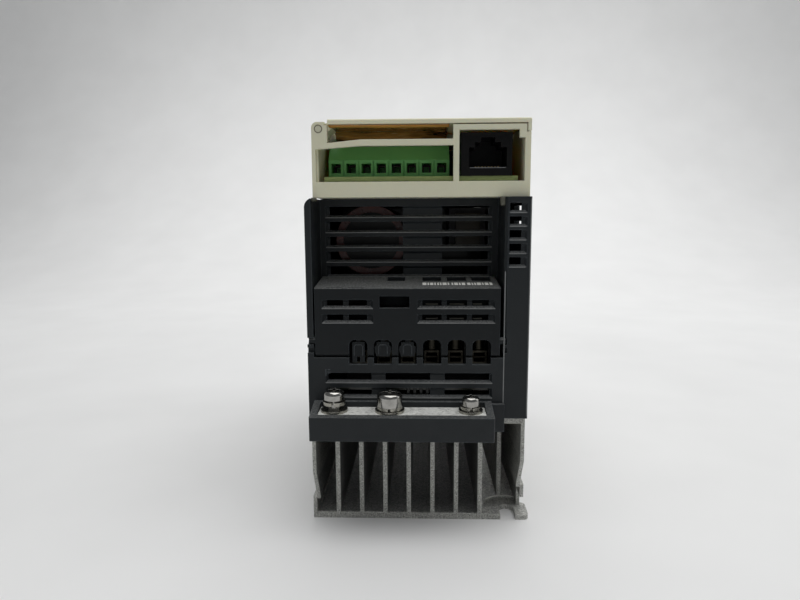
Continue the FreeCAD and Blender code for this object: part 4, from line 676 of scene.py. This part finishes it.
def make_front_trim():
    """Dark rings round the hinge pins that are painted shade of a groove, a light lip under the network port
    that is a painted highlight, and a small raised mark coloured lighter as a painted highlight.
    """
    low, high = box_mm("door_hinge_pins")
    across, level = (low[0] + high[0]) / 2, (low[2] + high[2]) / 2
    radius = (high[2] - low[2]) / 2
    bm = bmesh.new()
    annulus(bm, across, level, radius, radius + 0.3, "Y", low[1] - 0.05, low[1] + 0.1)
    # Dark ring round the pin: painted shade of a groove.
    finish_mesh("pin_ring", bm, "chassis",
                moulded("pin_groove_painted_shade", (0.2, 0.18, 0.13), rough=0.6, grain_mm=0.3))
    low, high = box_mm("network_contacts")
    middle, bottom = (low[0] + high[0]) / 2, low[2]
    front = box_mm("network_socket")[0][1]
    # Light strip on the port's bottom edge: painted highlight.
    outlines_piece("port_lip_highlight", [oblong(middle - 5.6, middle + 5.6, bottom - 0.22, bottom, 0.05)], "Y",
                   front - 0.12, front + 0.4, "chassis",
                   moulded("port_lip_painted_highlight", (0.16, 0.165, 0.17), rough=0.3, grain_mm=0.2))
    front = box_mm("power_housing")[0][1]
    strokes = [oblong(-29.6, -29.25, 49.3, 51.6, 0.1), oblong(-28.9, -28.0, 51.3, 51.6, 0.1),
               oblong(-28.9, -28.6, 49.9, 51.0, 0.1), oblong(-28.3, -28.0, 50.1, 50.8, 0.1)]
    # Raised strokes coloured lighter than the moulding: painted highlight on the mark.
    outlines_piece("moulded_mark", strokes, "Y", front - 0.08, front + 0.1, "chassis",
                   moulded("raised_mark_painted_highlight", tint(DARK, 3.3), rough=0.4, grain_mm=0.3))


def make_display_digits():
    """Four seven-segment digits, unlit, on the face of the display under the tinted window."""
    low, high = box_mm("display_module")
    middle, line, face = (low[0] + high[0]) / 2, (low[1] + high[1]) / 2, high[2]
    pitch, half, tall, wide, thick = 7.6, 2.1, 4.0, 0.45, 0.08
    bm = bmesh.new()
    for digit in range(4):
        centre = middle + pitch * (digit - 1.5)
        left, right = centre - half, centre + half
        for level in (line - tall, line, line + tall):
            prism(bm, [(left + 0.7, level), (left + 1.1, level + wide), (right - 1.1, level + wide),
                       (right - 0.7, level), (right - 1.1, level - wide), (left + 1.1, level - wide)],
                  "Z", face, face + thick)
        for across in (left, right):
            for foot in (line - tall, line):
                head = foot + tall
                prism(bm, [(across, foot + 0.4), (across + wide, foot + 0.9), (across + wide, head - 0.9),
                           (across, head - 0.4), (across - wide, head - 0.9), (across - wide, foot + 0.9)],
                      "Z", face, face + thick)
        prism(bm, disc(right + 1.4, line - tall, 0.45, 12), "Z", face, face + thick)
    finish_mesh("display_segments", bm, "chassis",
                moulded("segment_lens", (0.33, 0.12, 0.1), rough=0.3, grain_mm=0.3, mottle=0.1))


def make_key_symbols():
    """Plain symbols printed on the keys: two arrows, a bent arrow and a bar."""
    symbols = {"key_up": [[(-1.6, -1.0), (1.6, -1.0), (0.0, 1.3)]],
               "key_down": [[(-1.6, 1.0), (0.0, -1.3), (1.6, 1.0)]],
               "key_enter": [[(-1.9, -0.3), (-0.6, 0.7), (-0.6, 0.0), (1.2, 0.0), (1.2, 1.2), (1.8, 1.2),
                              (1.8, -0.6), (-0.6, -0.6), (-0.6, -1.3)]],
               "key_escape": [oblong(-1.5, 1.5, -0.35, 0.35, 0.3)]}
    for key, outlines in symbols.items():
        low, high = box_mm(key)
        across, along, top = (low[0] + high[0]) / 2, (low[1] + high[1]) / 2, high[2]
        moved = [[(across + u, along + v) for u, v in outline] for outline in outlines]
        outlines_piece(key + "_symbol", moved, "Z", top - 0.05, top + 0.012, key + "_body",
                       SHADES["print"])


def make_rating_plate():
    """Blank foil plate on the right side of the case, with an embossed frame and no text."""
    high = box_mm("power_housing")[1]
    side = high[0]
    left, right, low, top = -34.0, 14.0, 41.5, 56.0
    foil = plated("foil_plate", (0.5, 0.5, 0.49), rough=0.35, stain=0.2, metal=0.6)
    outlines_piece("rating_plate", [oblong(left, right, low, top, 1.2, 5)], "X", side - 0.05, side + 0.08,
                   "chassis", foil)
    frame_bars = [oblong(left + 1, right - 1, top - 1.3, top - 1.0, 0.1),
                  oblong(left + 1, right - 1, low + 1.0, low + 1.3, 0.1),
                  oblong(left + 1, left + 1.3, low + 1, top - 1, 0.1),
                  oblong(right - 1.3, right - 1, low + 1, top - 1, 0.1),
                  oblong(left + 1, right - 1, low + 7.2, low + 7.4, 0.05)]
    outlines_piece("rating_plate_lines", frame_bars, "X", side, side + 0.12, "chassis",
                   paint("plate_print", (0.03, 0.03, 0.032)))


def make_tongue_outlines():
    """Fine raised outlines on the knock-out tongues that close three of the cable ways, coloured lighter as a
    painted highlight.
    """
    bm = bmesh.new()
    for index in range(CLOSED_WAYS):
        middle = FIRST_WAY + WAY_PITCH * index
        low = 56.4 if index else 55.9
        right_half = [(1.5, low), (1.5, 58.9), (1.0, 59.6)]
        right_inner = [(1.25, low), (1.25, 58.8), (0.9, 59.35)]
        outer = [(-u, v) for u, v in right_half] + right_half[::-1]
        inner = right_inner + [(-u, v) for u, v in reversed(right_inner)]
        prism(bm, [(middle + u, v) for u, v in outer + inner], "Y", TONGUE_FACE - 0.12, TONGUE_FACE + 0.1)
    # Outlines coloured lighter than the cover: painted highlight on the tongue edges.
    finish_mesh("tongue_outlines", bm, "cover",
                moulded("raised_edge_painted_highlight", tint(DARK, 2.7), rough=0.4, grain_mm=0.3), bevel=0.04)


def make_seat_rim():
    """Bright raised rim round the screw seat of the open mounting slot: partly bare metal, partly a painted
    highlight along the seat's edge.
    """
    slot = next(mount for mount in frame["record"]["mounts"] if mount["name"] == "bottom_right_slot")
    across, along = slot["pos_m"][0] / MM, slot["pos_m"][1] / MM
    wide, steps, first, sweep = 0.45, 28, 60, 80
    turns = [math.radians(first + sweep * step / steps) for step in range(steps + 1)]
    outline = [(across + radius * math.cos(turn), along + radius * math.sin(turn))
               for radius, order in ((SEAT_RADIUS + wide, turns), (SEAT_RADIUS, turns[::-1]))
               for turn in order]
    # Rim coloured light: painted highlight along the edge of the seat, on bare metal.
    outlines_piece("seat_rim", [outline], "Z", SEAT_LEVEL - 0.1, SEAT_LEVEL + 0.3, "chassis",
                   plated("bare_rim_painted_highlight", (0.75, 0.75, 0.7), rough=0.45, stain=0.3, metal=0.2), bevel=0.1)


make_amber_film()
make_inner_sheet()
make_seat_rim()
make_tongue_outlines()
make_display_digits()
make_key_symbols()
make_rating_plate()
make_front_trim()
make_slat_edge_highlights()
make_cover_marks()
make_snap_hooks()
make_bar_marks()
make_inner_ribs()


# ---------------------------------------------------------------- floor, light and camera

def make_floor():
    """Seamless paper: a floor that curves up into a wall behind the object."""
    half_width, near, far, height, bend = 1.8, -0.9, 0.95, 1.6, 0.55
    profile = [(near, 0.0), (far - bend, 0.0)]
    steps = 16
    for step in range(1, steps + 1):
        angle = math.pi / 2 * step / steps
        profile.append((far - bend + bend * math.sin(angle), bend - bend * math.cos(angle)))
    profile.append((far, height))
    verts = [(side * half_width, y, z) for y, z in profile for side in (-1, 1)]
    faces = [(2 * i, 2 * i + 1, 2 * i + 3, 2 * i + 2) for i in range(len(profile) - 1)]
    mesh = bpy.data.meshes.new("backdrop")
    mesh.from_pydata(verts, [], faces)
    for polygon in mesh.polygons:
        polygon.use_smooth = True
    floor = bpy.data.objects.new("backdrop", mesh)
    bpy.context.scene.collection.objects.link(floor)
    shade = Shade("backdrop_paper")
    shade.feed("Base Color", shade.blend(shade.span(shade.noise(60, detail=2), 0.3, 0.7),
                                         (0.80, 0.80, 0.795), (0.83, 0.83, 0.825)))
    shade.set(Roughness=0.85)
    mesh.materials.append(shade.done())


def area_light(name, position, target, size, power, spread=180):
    data = bpy.data.lights.new(name, "AREA")
    data.shape = "RECTANGLE"
    data.size, data.size_y = size
    data.energy = power
    data.spread = math.radians(spread)
    light = bpy.data.objects.new(name, data)
    light.location = position
    direction = Vector(target) - Vector(position)
    light.rotation_euler = direction.to_track_quat("-Z", "Y").to_euler()
    light.visible_camera = False
    bpy.context.scene.collection.objects.link(light)


def make_lights():
    centre = (0, 0, 0.07)
    area_light("overhead", (0.12, -0.12, 1.0), centre, (1.1, 1.1), 9.0)
    area_light("right_side", (1.1, 0.1, 0.5), centre, (0.6, 0.6), 1.4)
    area_light("backdrop_wash", (-0.04, 0.5, 0.45), (-0.04, 0.65, 0.0), (1.1, 0.3), 1.15)
    area_light("low_back", (0, 0.42, 0.07), (0, 0.06, 0.018), (0.12, 0.06), 0.035, spread=40)
    world = bpy.data.worlds.new("studio")
    world.use_nodes = True
    background = world.node_tree.nodes["Background"]
    background.inputs["Color"].default_value = (0.95, 0.975, 1.0, 1)
    background.inputs["Strength"].default_value = 0.18
    bpy.context.scene.world = world
    bpy.context.scene.view_settings.view_transform = "Standard"


def make_camera():
    data = bpy.data.cameras.new("camera")
    data.sensor_width = 36.0
    data.lens = 27.45
    data.clip_start = 0.01
    camera = bpy.data.objects.new("camera", data)
    place = Matrix.Translation((0.00117, -0.25785, 0.10045))
    yaw, pitch, roll = (Matrix.Rotation(math.radians(degrees), 4, axis)
                        for degrees, axis in ((2.0, "Z"), (82.1, "X"), (-0.3, "Z")))
    camera.matrix_world = place @ yaw @ pitch @ roll
    bpy.context.scene.collection.objects.link(camera)
    bpy.context.scene.camera = camera


make_floor()
make_lights()
make_camera()
